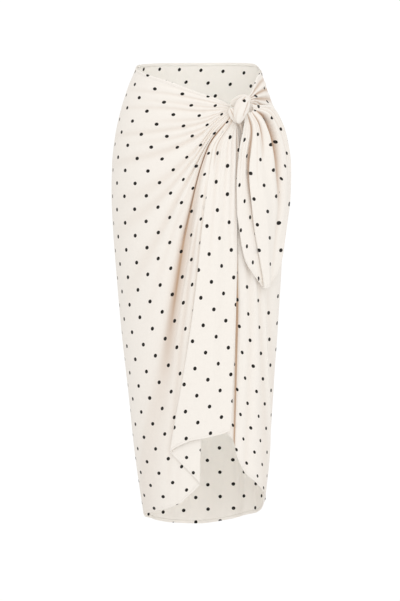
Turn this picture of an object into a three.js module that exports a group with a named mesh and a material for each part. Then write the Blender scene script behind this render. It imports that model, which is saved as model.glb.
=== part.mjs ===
// A wrap skirt of printed cloth in its worn form, tied in a knot at the front of the hip.
// Millimetres, +Z up, the front faces -Y. The origin is the middle of the waist opening, level with its top edge.
import * as THREE from "three";

// Driving dimensions.
const CLOTH = 1.2; // thickness of each cloth wall
const SEAM_GAP = 0.62; // between two panels where they are sewn together
const LEFT_SEAM = 0; // where the side seams run, in degrees round the waist
const RIGHT_SEAM = 192;
const SHARPEST_BEND = 0.36; // of a crease: how deep it is at most, for its width
const PLEAT_RADIUS = { knot: 0.9, hem: 2.3 }; // of the two turns in a pleat that is folded over

// Rows of numbers as objects with named columns.
const named = (columns, row) => Object.fromEntries(columns.map((name, i) => [name, row[i]]));
const tableOf = (columns, rows) => rows.map((row) => named(columns, row));

// The worn form: the cloth's left and right edge seen from the front, and how deep its front and back are.
const FORM = [
  { z: -940, left: -104, right: 128, front: 90, back: 97 },
  { z: -780, left: -127, right: 142, front: 95, back: 101 },
  { z: -660, left: -139, right: 150, front: 98, back: 106 },
  { z: -520, left: -155, right: 159, front: 102, back: 114 },
  { z: -420, left: -164, right: 166, front: 105, back: 122 },
  { z: -330, left: -171, right: 170, front: 106, back: 130 },
  { z: -260, left: -174, right: 173, front: 107, back: 134 },
  { z: -200, left: -173, right: 173, front: 105, back: 131 },
  { z: -150, left: -168, right: 168, front: 102, back: 121 },
  { z: -100, left: -158, right: 156, front: 98, back: 107 },
  { z: -50, left: -143, right: 138, front: 92, back: 93 },
  { z: 0, left: -124, right: 123, front: 87, back: 84 },
  { z: 40, left: -116, right: 115, front: 84, back: 80 },
];

// Top edge and hem of the back, by degrees round the waist from the right seam to the left one.
const BACK_EDGES = [
  { turn: 192, top: -4, hem: -879 },
  { turn: 205, top: 4, hem: -896 },
  { turn: 225, top: 7, hem: -906 },
  { turn: 250, top: 8, hem: -918 },
  { turn: 275, top: 8, hem: -925 },
  { turn: 305, top: 7, hem: -922 },
  { turn: 330, top: 4, hem: -913 },
  { turn: 347, top: 1, hem: -907 },
  { turn: 360, top: -2, hem: -903 },
];

// Soft folds down the back: where, how wide in degrees, how far out at the hem, and how far up they reach.
const BACK_FOLDS = [
  { turn: 216, width: 12, out: 5, top: -480 },
  { turn: 240, width: 12, out: 7, top: -300 },
  { turn: 268, width: 15, out: 4, top: -560 },
  { turn: 294, width: 12, out: 6, top: -330 },
  { turn: 322, width: 14, out: 5, top: -420 },
  { turn: 343, width: 9, out: 4, top: -620 },
];

// Rays of a fan of cloth, from the knot to its outer edge, as places seen from the front. SIDE is the panel's side
// seam. root is the angle at which a ray leaves the knot. first, near and far are points on its way, a tenth, three
// tenths and six tenths along, and edge is where it ends. out is how far the cloth stands off the form there, ridge
// how much higher it rises near the knot, and columns how many steps the wall has from this ray to the next.
const SIDE = Infinity;
const RAY_COLUMNS = ["at", "root", "first", "near", "far", "edge", "out", "ridge", "columns"];
const OVER_RAYS = tableOf(RAY_COLUMNS, [
  [0, 160, [46, -74], [8, -60], [-62, -34], [-SIDE, -2], 0, 3, 7],
  [0.07, 168, [42, -80], [4, -71], [-66, -58], [-SIDE, -46], 0, 6, 7],
  [0.14, 176, [40, -91], [2, -92], [-70, -85], [-SIDE, -82], 0, 6, 7],
  [0.21, 184, [39, -102], [1, -117], [-74, -127], [-SIDE, -134], 0, 6, 7],
  [0.28, 192, [37, -111], [-2, -140], [-78, -168], [-SIDE, -192], 0, 6, 6],
  [0.35, 199, [34, -121], [-8, -174], [-84, -236], [-SIDE, -286], 0, 6, 5],
  [0.42, 205, [30, -137], [-17, -214], [-96, -330], [-SIDE, -450], 0, 6, 4],
  [0.48, 211, [24, -152], [-25, -262], [-98, -450], [-SIDE, -660], 0, 6, 4],
  [0.53, 216, [20, -166], [-24, -322], [-76, -570], [-SIDE, -903], 0, 6, 6],
  [0.58, 221, [21, -174], [-7, -322], [-46, -575], [-72, -891], 5, 6, 3],
  [0.611, 226, [27, -176], [15, -310], [2, -560], [-24, -871], 4, 5, 14],
  [0.806, 230, [31, -172], [17, -298], [2, -505], [-22, -757], 3, 5, 5],
  [0.87, 236, [50, -168], [38, -294], [28, -500], [14, -748], 5, 5, 5],
  [0.95, 242, [68, -164], [64, -288], [59, -492], [50, -739], 6, 3, 2],
  [0.985, 246, [77, -163], [74, -287], [71, -487], [62.5, -733], 6.4, 1.5, 2],
  [1, 248, [81, -163], [78, -286], [75, -484], [66.5, -720], 6.5, 0, 0],
]);
const UNDER_RAYS = tableOf(RAY_COLUMNS, [
  [0, 75, [103, -60], [110, -44], [117, -25], [SIDE, -7], 0, 1, 4],
  [0.1, 52, [108, -66], [120, -58], [134, -50], [SIDE, -48], 0, 2, 4],
  [0.2, 30, [112, -74], [127, -82], [146, -88], [SIDE, -104], 0, 2, 4],
  [0.3, 8, [113, -84], [131, -118], [154, -146], [SIDE, -190], 0, 2, 4],
  [0.4, -18, [112, -98], [132, -172], [158, -250], [SIDE, -340], 0, 1, 3],
  [0.5, -40, [110, -120], [130, -260], [150, -430], [SIDE, -600], 0, 0, 3],
  [0.6, -60, [106, -140], [124, -330], [138, -600], [SIDE, -879], 0, 0, 4],
  [0.7, -80, [99, -142], [112, -330], [122, -590], [118, -840], 3, 0, 3],
  [0.8, -100, [90, -140], [99, -325], [104, -570], [94, -818], 2, 0, 3],
  [0.9, -120, [78, -136], [79, -315], [84, -540], [77, -784], 1.5, 0, 3],
  [1, -142, [64, -130], [57, -300], [60, -510], [56, -738], 1, 0, 0],
]);
const TAIL_RAYS = tableOf(RAY_COLUMNS, [
  [0, 215, [91, -118], [81, -176], [76, -240], [77, -302], 11, 2, 4],
  [0.12, 228, [94, -122], [88, -192], [86, -280], [93, -392], 12, 4, 6],
  [0.24, 242, [98, -125], [102, -202], [112, -306], [127, -443], 11, 6, 12],
  [0.5, 256, [101, -125], [105, -202], [114, -310], [132, -448], 9, 7, 4],
  [0.62, 280, [111, -125], [122, -204], [132, -316], [137, -445], 10, 8, 6],
  [0.75, 310, [122, -117], [142, -192], [154, -306], [149, -432], 11, 8, 6],
  [0.88, 345, [131, -102], [160, -160], [173, -276], [163, -408], 13, 7, 5],
  [1, 400, [140, -83], [171, -132], [184, -232], [170, -374], 14, 3, 0],
]);

// Creases that run out from the knot between soft ridges: where on the fan, half their width, how deep,
// and how far along the rays they reach.
const OVER_CREASES = [
  { at: 0.035, width: 0.02, depth: 3, reach: 0.75 },
  { at: 0.07, width: 0.018, depth: 3, reach: 1.0 },
  { at: 0.105, width: 0.018, depth: 4, reach: 0.85 },
  { at: 0.14, width: 0.018, depth: 4, reach: 1.0 },
  { at: 0.175, width: 0.018, depth: 4.4, reach: 0.7 },
  { at: 0.21, width: 0.02, depth: 5, reach: 1.1 },
  { at: 0.245, width: 0.018, depth: 4.4, reach: 0.6 },
  { at: 0.285, width: 0.022, depth: 5.4, reach: 1.1 },
  { at: 0.33, width: 0.022, depth: 5, reach: 0.8 },
  { at: 0.375, width: 0.022, depth: 5.4, reach: 1.0 },
  { at: 0.43, width: 0.026, depth: 5, reach: 0.7 },
  { at: 0.485, width: 0.026, depth: 5, reach: 0.55 },
  { at: 0.555, width: 0.034, depth: 9, reach: 1.3 },
  { at: 0.6, width: 0.02, depth: 6, reach: 0.18 },
  { at: 0.84, width: 0.028, depth: 5, reach: 0.5 },
  { at: 0.9, width: 0.026, depth: 4, reach: 0.35 },
  { at: 0.95, width: 0.024, depth: 4, reach: 0.45 },
];
const UNDER_CREASES = [
  { at: 0.07, width: 0.035, depth: 4, reach: 1.5 },
  { at: 0.16, width: 0.035, depth: 4, reach: 1.2 },
  { at: 0.26, width: 0.04, depth: 4, reach: 0.9 },
  { at: 0.36, width: 0.04, depth: 3, reach: 0.7 },
];
const TAIL_CREASES = [
  { at: 0.07, width: 0.04, depth: 3, reach: 0.8 },
  { at: 0.2, width: 0.045, depth: 6, reach: 0.6 },
  { at: 0.64, width: 0.035, depth: 3, reach: 0.3 },
  { at: 0.74, width: 0.045, depth: 8, reach: 0.3 },
  { at: 0.855, width: 0.05, depth: 10, reach: 0.85 },
  { at: 0.96, width: 0.035, depth: 4, reach: 1.1 },
];

// How each gathered panel starts: round which middle its rays start and how far from it, how far out the cloth stands
// there, the least that it stands off the form anywhere, and how many steps it has along its rays.
const GATHERS = {
  over: { x: 84, z: -90, radius: 22, out: 6, least: 0, rows: 20 },
  under: { x: 92, z: -80, radius: 11, out: 1.6, least: 0, rows: 17 },
  tail: { x: 101, z: -88, radius: 9, out: 18.5, least: 9, rows: 17 },
};

// Pleats folded flat: their share of the fan, how far they lie over and under the line they turn about, how soon
// along the rays they open, how much they close again at the end, and the share of the fan where the cloth beyond
// them starts to come down again and how wide that step is.
const OVER_PLEAT = { from: 0.611, to: 0.806, over: 28, under: 26, open: 1.6, close: 0, clear: 0.868, settle: 0.07 };
const TAIL_PLEAT = { from: 0.24, to: 0.5, over: 9, under: 12, open: 0.7, close: 0.85, clear: 0.6, settle: 0.12 };

// The bunched cloth of the knot: points on the way of each piece, as x, z, how far out its middle is, and its width
// and height there.
const KNOT_PIECES = [
  {
    name: "knot_strap",
    folds: 3,
    path: [[65, -84, 3.8, 14, 4], [75, -78, 4.8, 18, 6], [89, -72.5, 4.9, 21, 6], [105, -73, 4.9, 20, 6]],
  },
  {
    name: "knot_lobe",
    folds: 4,
    path: [[66, -90, 15.5, 13, 9.6], [69, -97, 16.8, 17, 11.4], [73, -106, 16.4, 16, 11.6], [78, -118, 14.4, 12, 9]],
  },
  {
    name: "knot_loop",
    folds: 5,
    path: [[99, -69, 18, 21, 14], [96.5, -78, 24.6, 28, 17], [91.5, -88, 28.4, 31, 17], [87, -100, 29.8, 27, 16],
      [84.5, -113, 27.4, 20, 13], [83.5, -121, 25.4, 14, 11]],
  },
  {
    name: "knot_tip",
    folds: 2,
    path: [[83.5, -118, 11, 8, 3], [88.5, -131, 8, 8, 3], [90.5, -142, 6, 8, 2], [88, -160, 4.6, 10, 2],
      [84, -185, 4.2, 11, 2], [82, -214, 4.1, 11, 2]],
  },
];
const KNOT_STEPS = { around: 16, along: 10 };
const BACK_STEPS = { columns: 30, rows: 13 };

const radians = (degrees) => (degrees * Math.PI) / 180;
const mix = (a, b, share) => a + (b - a) * share;
const clamp = (value) => Math.min(1, Math.max(0, value));
const ease = (value) => clamp(value) ** 2 * (3 - 2 * clamp(value));

// A smooth curve through values at rising stations that never swings past them.
function curveThrough(stations, values) {
  const last = stations.length - 1;
  const steps = values.slice(1).map((value, i) => (value - values[i]) / (stations[i + 1] - stations[i]));
  const slopes = values.map((_, i) => {
    if (i === 0) return steps[0];
    if (i === last) return steps[last - 1];
    return steps[i - 1] * steps[i] > 0 ? (2 * steps[i - 1] * steps[i]) / (steps[i - 1] + steps[i]) : 0;
  });
  return (where) => {
    const at = Math.min(stations[last], Math.max(stations[0], where));
    const next = Math.max(1, stations.findIndex((s) => s >= at));
    const [from, span] = [next - 1, stations[next] - stations[next - 1]];
    const t = (at - stations[from]) / span;
    return (
      (1 + 2 * t) * (1 - t) ** 2 * values[from] +
      t * (1 - t) ** 2 * span * slopes[from] +
      t * t * (3 - 2 * t) * values[next] +
      t * t * (t - 1) * span * slopes[next]
    );
  };
}

const column = (rows, by, name) => curveThrough(rows.map((row) => row[by]), rows.map((row) => row[name]));
const sides = ["left", "right", "front", "back"];
const form = Object.fromEntries(sides.map((side) => [side, column(FORM, "z", side)]));
const backTop = column(BACK_EDGES, "turn", "top");
const backHem = column(BACK_EDGES, "turn", "hem");

// The point of the worn form at an angle round the waist and a height, moved out by lift.
function formPoint(turn, z, lift) {
  const half = (form.right(z) - form.left(z)) / 2;
  const middle = (form.right(z) + form.left(z)) / 2;
  const [c, s] = [Math.cos(turn), Math.sin(turn)];
  const depth = s >= 0 ? form.front(z) : form.back(z);
  const out = new THREE.Vector3(-c / half, -s / depth, 0).setLength(lift || 1e-9);
  return new THREE.Vector3(middle - half * c, -depth * s, z).add(out);
}

// Millimetres of cloth for each radian round the form.
function reachOf(turn, z) {
  const half = (form.right(z) - form.left(z)) / 2;
  return Math.hypot(half * Math.sin(turn), form.front(z) * Math.cos(turn));
}

// The angle round the waist of a place seen from the front, for cloth that stands off the form by lift.
function turnOf(x, z, lift) {
  if (x === SIDE) return radians(RIGHT_SEAM) - SEAM_GAP / 2 / form.back(z);
  if (x === -SIDE) return radians(LEFT_SEAM) + SEAM_GAP / 2 / form.front(z);
  const share = (x - form.left(z) + lift) / (form.right(z) - form.left(z) + 2 * lift);
  return Math.acos(1 - 2 * clamp(share));
}

// A fan of cloth: for a place across it and a share of the way along its ray, the angle, height and lift.
function fanOf(rays, gather) {
  const stations = rays.map((ray) => ray.at);
  const out = column(rays, "at", "out");
  const liftAt = (at, share) => mix(gather.out, out(at), ease(share / 0.45));
  const guides = [0, 0.1, 0.3, 0.6, 1].map((share, k) => {
    const places = rays.map((ray) => {
      const angle = radians(ray.root);
      const start = [gather.x + gather.radius * Math.cos(angle), gather.z + gather.radius * Math.sin(angle)];
      return [start, ray.first, ray.near, ray.far, ray.edge][k];
    });
    return {
      share,
      turn: curveThrough(stations, places.map(([x, z], i) => turnOf(x, z, liftAt(rays[i].at, share)))),
      z: curveThrough(stations, places.map(([, z]) => z)),
    };
  });
  const shares = guides.map((guide) => guide.share);
  return (at, share) => ({
    turn: curveThrough(shares, guides.map((guide) => guide.turn(at)))(share),
    z: curveThrough(shares, guides.map((guide) => guide.z(at)))(share),
    lift: liftAt(at, share),
  });
}

// How far the ridges of the gathered cloth stand out, with the creases between them. spread is how many millimetres
// wide the whole fan would be as it lies here: where it is narrow, a crease is only as deep as the wall can bend.
function ridgesOf(creases, ridge) {
  return (at, share, spread) => {
    const height = ridge(at) * ease(share / 0.12) * (1 - ease((share - 0.2) / 0.7));
    const depth = creases.reduce((sum, crease) => {
      const across = Math.max(0, 1 - ((at - crease.at) / crease.width) ** 2) ** 2;
      const deepest = (SHARPEST_BEND / CLOTH) * (crease.width * spread) ** 2;
      return sum + Math.min(crease.depth, deepest) * across * (1 - ease(share / crease.reach));
    }, 0);
    return height - depth;
  };
}

// A pleat folded flat, as a line that goes under, turns back over itself and turns again: its place sideways and
// outwards at a share of its columns, and the share of its cloth that is used up there.
function pleatPlace(share, under, over, radius) {
  const bend = Math.PI * radius;
  const legs = [under, bend, under + over, bend, over];
  const marks = [0, 0.14, 0.36, 0.57, 0.86, 1];
  const leg = Math.max(0, marks.findIndex((mark) => mark >= share) - 1);
  const t = (share - marks[leg]) / (marks[leg + 1] - marks[leg]);
  const places = [
    [under * t, 0],
    [under + radius * Math.sin(Math.PI * t), radius * (1 - Math.cos(Math.PI * t))],
    [mix(under, -over, t), 2 * radius],
    [-over - radius * Math.sin(Math.PI * t), radius * (3 - Math.cos(Math.PI * t))],
    [mix(-over, 0, t), 4 * radius],
  ];
  const used = legs.reduce((sum, value, i) => sum + (i < leg ? value : i === leg ? value * t : 0), 0);
  const [side, lift] = places[leg];
  return { side, lift, used: used / legs.reduce((sum, value) => sum + value, 0) };
}

// A panel that is gathered at the knot: a fan with creases, and a pleat where it has one.
function gatheredPanel(rays, creases, gather, pleat) {
  const fan = fanOf(rays, gather);
  const ridges = ridgesOf(creases, column(rays, "at", "ridge"));
  return (at, share) => {
    const radius = mix(PLEAT_RADIUS.knot, PLEAT_RADIUS.hem, ease(share * 2));
    let fold = { side: 0, lift: 0 };
    let across = at;
    const grown = pleat ? share ** pleat.open * (1 - pleat.close * ease((share - 0.5) / 0.5)) : 0;
    if (pleat && at > pleat.from && at < pleat.to) {
      const inPleat = (at - pleat.from) / (pleat.to - pleat.from);
      fold = pleatPlace(inPleat, pleat.under * grown, pleat.over * grown, radius);
      across = mix(pleat.from, pleat.to, fold.used);
    } else if (pleat && at >= pleat.to) {
      const start = mix(pleat.to, pleat.clear, ease(share * 2));
      fold.lift = 4 * radius * (1 - ease((at - start) / pleat.settle));
    }
    const place = fan(across, share);
    const [before, after] = [fan(Math.max(0, across - 0.01), share), fan(Math.min(1, across + 0.01), share)];
    const apart = formPoint(before.turn, before.z, 0).distanceTo(formPoint(after.turn, after.z, 0));
    const lift = Math.max(gather.least, place.lift + ridges(at, share, apart / 0.02));
    const turn = place.turn + fold.side / reachOf(place.turn, place.z);
    return formPoint(turn, place.z, lift + fold.lift);
  };
}

// The stations across a fan: even steps from each ray to the next.
function stationsOf(rays) {
  return rays.flatMap((ray, i) => {
    const next = rays[i + 1];
    if (!next) return [ray.at];
    return Array.from({ length: ray.columns }, (_, k) => mix(ray.at, next.at, k / ray.columns));
  });
}

function backPanel(across, share) {
  const start = radians(RIGHT_SEAM) + SEAM_GAP / 2 / form.back(-400);
  const end = radians(360 + LEFT_SEAM) - SEAM_GAP / 2 / form.back(-400);
  const turn = mix(start, end, across);
  const degrees = THREE.MathUtils.radToDeg(turn);
  const z = mix(backTop(degrees), backHem(degrees), share);
  const lift = BACK_FOLDS.reduce((sum, fold) => {
    const nearness = Math.max(0, 1 - ((degrees - fold.turn) / fold.width) ** 2) ** 2;
    return sum + fold.out * nearness * ease((fold.top - z) / (fold.top - backHem(degrees)));
  }, 0);
  return formPoint(turn, z, lift);
}

// A closed wall of cloth on a grid of points: both faces lie half its thickness from them.
function wallOf(surface, stations, rows, thickness) {
  const [wide, long] = [stations.length, rows + 1];
  const points = [];
  for (let j = 0; j < long; j += 1) {
    for (const at of stations) points.push(surface(at, (j / rows) ** 1.25));
  }
  const point = (i, j) => points[j * wide + i];
  const positions = [];
  for (const side of [1, -1]) {
    for (let j = 0; j < long; j += 1) {
      for (let i = 0; i < wide; i += 1) {
        const across = point(Math.min(wide - 1, i + 1), j).clone().sub(point(Math.max(0, i - 1), j));
        const along = point(i, Math.min(long - 1, j + 1)).clone().sub(point(i, Math.max(0, j - 1)));
        const normal = across.cross(along).setLength((side * thickness) / 2);
        positions.push(...point(i, j).clone().add(normal).toArray());
      }
    }
  }
  const faces = [];
  const count = wide * long;
  const quad = (a, b, c, d) => faces.push(a, b, c, a, c, d);
  for (let j = 0; j < rows; j += 1) {
    for (let i = 0; i < wide - 1; i += 1) {
      const [a, b, c, d] = [j * wide + i, j * wide + i + 1, (j + 1) * wide + i + 1, (j + 1) * wide + i];
      quad(a, b, c, d);
      quad(count + a, count + d, count + c, count + b);
    }
  }
  const rim = [];
  for (let i = 0; i < wide; i += 1) rim.push(i);
  for (let j = 1; j < long; j += 1) rim.push(j * wide + wide - 1);
  for (let i = wide - 2; i >= 0; i -= 1) rim.push((long - 1) * wide + i);
  for (let j = long - 2; j > 0; j -= 1) rim.push(j * wide);
  rim.forEach((a, i) => {
    const b = rim[(i + 1) % rim.length];
    quad(a, a + count, b + count, b);
  });
  return new THREE.BufferGeometry()
    .setAttribute("position", new THREE.BufferAttribute(new Float32Array(positions), 3))
    .setIndex(faces);
}

// A roll of bunched cloth along a line of points: oval, rounded at its ends, with lengthwise folds.
function rollOf({ path, folds }, steps) {
  const line = new THREE.CatmullRomCurve3(path.map(([x, z, lift]) => formPoint(turnOf(x, z, lift), z, lift)));
  const shares = path.map((_, i) => i / (path.length - 1));
  const width = curveThrough(shares, path.map((point) => point[3]));
  const height = curveThrough(shares, path.map((point) => point[4]));
  const positions = [];
  const faces = [];
  const rounded = (share) => Math.sqrt(1 - Math.abs(2 * share - 1) ** 3);
  for (let j = 0; j <= steps.along; j += 1) {
    const share = (1 - Math.cos((Math.PI * j) / steps.along)) / 2;
    const middle = line.getPoint(share);
    const ahead = line.getTangent(share);
    const turn = turnOf(middle.x, middle.z, 0);
    const out = formPoint(turn, middle.z, 1).sub(formPoint(turn, middle.z, 0));
    const side = new THREE.Vector3().crossVectors(ahead, out).normalize();
    const up = new THREE.Vector3().crossVectors(side, ahead).normalize();
    for (let i = 0; i < steps.around; i += 1) {
      const angle = (2 * Math.PI * i) / steps.around;
      const size = rounded(mix(0.02, 0.98, share)) * (1 + 0.05 * Math.cos(folds * angle));
      const place = middle
        .clone()
        .addScaledVector(side, (width(share) / 2) * size * Math.cos(angle))
        .addScaledVector(up, (height(share) / 2) * size * Math.sin(angle));
      positions.push(...place.toArray());
    }
  }
  for (let j = 0; j < steps.along; j += 1) {
    for (let i = 0; i < steps.around; i += 1) {
      const [a, b] = [j * steps.around + i, j * steps.around + ((i + 1) % steps.around)];
      faces.push(a, b, b + steps.around, a, b + steps.around, a + steps.around);
    }
  }
  for (const ring of [0, steps.along]) {
    const middle = positions.length / 3;
    positions.push(...line.getPoint(ring / steps.along).toArray());
    for (let i = 0; i < steps.around; i += 1) {
      const [a, b] = [ring * steps.around + i, ring * steps.around + ((i + 1) % steps.around)];
      faces.push(...(ring ? [middle, a, b] : [middle, b, a]));
    }
  }
  return new THREE.BufferGeometry()
    .setAttribute("position", new THREE.BufferAttribute(new Float32Array(positions), 3))
    .setIndex(faces);
}

// Turns a geometry's faces to point outwards.
function facingOut(geometry) {
  const at = (i) => new THREE.Vector3().fromBufferAttribute(geometry.attributes.position, i);
  const index = geometry.index.array;
  let volume = 0;
  for (let i = 0; i < index.length; i += 3) {
    volume += at(index[i]).dot(at(index[i + 1]).cross(at(index[i + 2])));
  }
  if (volume < 0) {
    for (let i = 0; i < index.length; i += 3) [index[i + 1], index[i + 2]] = [index[i + 2], index[i + 1]];
  }
  return geometry;
}

const cloth = new THREE.MeshStandardMaterial({ color: 0xf6ede3, roughness: 0.7, metalness: 0 });
cloth.side = THREE.DoubleSide;
const skirt = new THREE.Group();

function add(name, geometry) {
  const mesh = new THREE.Mesh(facingOut(geometry), cloth.clone());
  mesh.name = name;
  skirt.add(mesh);
}

const evenly = Array.from({ length: BACK_STEPS.columns + 1 }, (_, i) => i / BACK_STEPS.columns);
const over = gatheredPanel(OVER_RAYS, OVER_CREASES, GATHERS.over, OVER_PLEAT);
const under = gatheredPanel(UNDER_RAYS, UNDER_CREASES, GATHERS.under);
const tail = gatheredPanel(TAIL_RAYS, TAIL_CREASES, GATHERS.tail, TAIL_PLEAT);

add("back_panel", wallOf(backPanel, evenly, BACK_STEPS.rows, CLOTH));
add("over_wrap", wallOf(over, stationsOf(OVER_RAYS), GATHERS.over.rows, CLOTH));
add("under_wrap", wallOf(under, stationsOf(UNDER_RAYS), GATHERS.under.rows, CLOTH));
add("tie_tail", wallOf(tail, stationsOf(TAIL_RAYS), GATHERS.tail.rows, CLOTH));
KNOT_PIECES.forEach((piece) => add(piece.name, rollOf(piece, KNOT_STEPS)));

export default skirt;
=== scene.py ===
import logging
import math
from dataclasses import dataclass, field
from enum import Enum

import bpy
import numpy as np
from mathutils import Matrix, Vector


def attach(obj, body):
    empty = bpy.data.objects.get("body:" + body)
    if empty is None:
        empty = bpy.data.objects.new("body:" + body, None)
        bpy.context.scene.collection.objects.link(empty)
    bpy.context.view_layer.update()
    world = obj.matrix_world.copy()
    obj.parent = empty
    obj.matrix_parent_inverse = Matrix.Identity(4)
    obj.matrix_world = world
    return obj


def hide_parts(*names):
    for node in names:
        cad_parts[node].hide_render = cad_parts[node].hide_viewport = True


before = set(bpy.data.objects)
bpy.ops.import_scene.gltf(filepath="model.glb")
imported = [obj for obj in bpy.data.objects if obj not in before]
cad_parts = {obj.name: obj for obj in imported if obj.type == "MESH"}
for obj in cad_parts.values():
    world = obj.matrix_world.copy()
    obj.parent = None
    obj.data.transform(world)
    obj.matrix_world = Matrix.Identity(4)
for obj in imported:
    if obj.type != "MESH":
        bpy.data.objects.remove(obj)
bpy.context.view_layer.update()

LOG = logging.getLogger("wrap_skirt")

# Driving dimensions in millimetres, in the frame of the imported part: +Z up, the front faces -Y.
MM = 0.001
CLOTH = 0.5  # thickness of the cloth as it is drawn
SEAM_GAP = 0.62  # between two panels at a side seam
LEFT_SEAM = 0  # where the side seams run, in degrees round the waist
RIGHT_SEAM = 192
PLEAT_RADIUS = {"knot": 0.9, "hem": 2.3}  # of the two turns in a pleat that is folded over
PRINT_PITCH = 35.5  # side of the square on whose corners the dots sit
DOT_RADIUS = 3.65
LEAST_FOLD = 1.3  # half the width of the narrowest fold of the gathered cloth
LEAST_BEND = 0.75  # radius of its sharpest bend
STITCH = {"length": 2.6, "gap": 1.1, "thick": 0.42, "straight": 0.32, "dip": 0.2}
ROW_GROWTH = 1.25  # power by which a panel's rows spread out towards its hem
DIAGONAL = 0.7071  # the rows of dots run at 45 degrees over a roll
NUDGE = 0.01  # share of a fan over which its spread is measured, each way
TREND = 15  # columns each way over which the cloth taken up by folds is evened out
VALLEY = 2.6  # how narrow the valley of a crease is
SHOULDER = {"narrow": 2.2, "off": 1.35}  # of the soft ridges beside it, in halves of its width
RIDGE = {"height": 0.8, "rise": 0.12, "fade": 0.2, "over": 0.7}  # between creases, in shares of a ray
LIFT_SETTLES = 0.45  # share of a ray by which the cloth has its own lift
PLEAT_MARKS = (0, 0.14, 0.36, 0.57, 0.86, 1)  # shares of a pleat's columns where its legs and turns meet
GUIDE_SHARES = (0, 0.1, 0.3, 0.6, 1)  # shares of a ray at its start, first, near, far and edge point
COOL = (0.8, 0.93, 1.0)  # colour of the light on the inside

# The worn form: z, the left and right edge of the cloth seen from the front, depth of front and back.
FORM = np.array([
    (-940, -104, 128, 90, 97),
    (-780, -127, 142, 95, 101),
    (-660, -139, 150, 98, 106),
    (-520, -155, 159, 102, 114),
    (-420, -164, 166, 105, 122),
    (-330, -171, 170, 106, 130),
    (-260, -174, 173, 107, 134),
    (-200, -173, 173, 105, 131),
    (-150, -168, 168, 102, 121),
    (-100, -158, 156, 98, 107),
    (-50, -143, 138, 92, 93),
    (0, -124, 123, 87, 84),
    (40, -116, 115, 84, 80),
], float)

# Top edge and hem of the back, by degrees round the waist: turn, top, hem.
BACK_EDGES = np.array([
    (192, -4, -883),
    (198, 1, -893),
    (205, 4, -898),
    (225, 7, -906),
    (250, 8, -918),
    (275, 8, -925),
    (305, 7, -922),
    (330, 4, -913),
    (347, 1, -907),
    (360, -2, -903),
], float)

SIDE = math.inf  # stands for a panel's side seam in the tables of rays

# The tables give places as they are seen from 10 m away, level with this point, in this plane.
EYE = {"x": 3.0, "z": -473.0, "distance": 10000.0, "plane": -50.0}


class Edge(Enum):
    """The edges of a panel's grid."""

    START = "start"
    END = "end"
    HEAD = "head"
    FOOT = "foot"


class Side(Enum):
    """Which way round the form a length is measured."""

    FRONT = "front"
    BACK = "back"


class LampPlace(Enum):
    """Places of the soft lamps; two small ones light the inside."""

    KEY = "key"
    FILL = "fill"
    TOP = "top"
    LOW = "low"
    INSIDE_TOP = "inside_top"
    INSIDE_LOW = "inside_low"


def ease(value: np.ndarray) -> np.ndarray:
    """Soft step from 0 to 1."""
    held = np.clip(value, 0.0, 1.0)
    return held * held * (3 - 2 * held)


def mix(start: float, end: float, share: np.ndarray) -> np.ndarray:
    """The value at a share of the way from start to end."""
    return start + (end - start) * share


def smooth(stations: np.ndarray, values: np.ndarray, where: np.ndarray) -> np.ndarray:
    """A smooth curve through values at rising stations that never swings past them.

    Args:
        stations: Rising places, one for each value.
        values: One value, or one grid of values, for each station.
        where: The places to read, a grid like each grid of values.

    Returns:
        The curve's value at each place.
    """
    where = np.asarray(where, float)
    values = np.asarray(values, float)
    if values.ndim == 1:
        values = np.broadcast_to(values.reshape((-1,) + (1,) * where.ndim), (len(values),) + where.shape)
    spans = np.diff(stations)
    steps = np.diff(values, axis=0) / spans.reshape((-1,) + (1,) * where.ndim)
    slopes = np.empty_like(values)
    slopes[0], slopes[-1] = steps[0], steps[-1]
    agree = steps[:-1] * steps[1:] > 0
    total = np.where(agree, steps[:-1] + steps[1:], 1.0)
    slopes[1:-1] = np.where(agree, 2 * steps[:-1] * steps[1:] / total, 0.0)
    at = np.clip(where, stations[0], stations[-1])
    leg = np.clip(np.searchsorted(stations, at, side="left"), 1, len(stations) - 1) - 1
    span = spans[leg]
    t = (at - np.asarray(stations)[leg]) / span

    def pick(rows: np.ndarray, index: np.ndarray) -> np.ndarray:
        """Reads one grid out of a stack of grids."""
        return np.take_along_axis(rows, index[None], axis=0)[0]

    return (
        (1 + 2 * t) * (1 - t) ** 2 * pick(values, leg)
        + t * (1 - t) ** 2 * span * pick(slopes, leg)
        + t * t * (3 - 2 * t) * pick(values, leg + 1)
        + t * t * (t - 1) * span * pick(slopes, leg + 1)
    )


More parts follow.
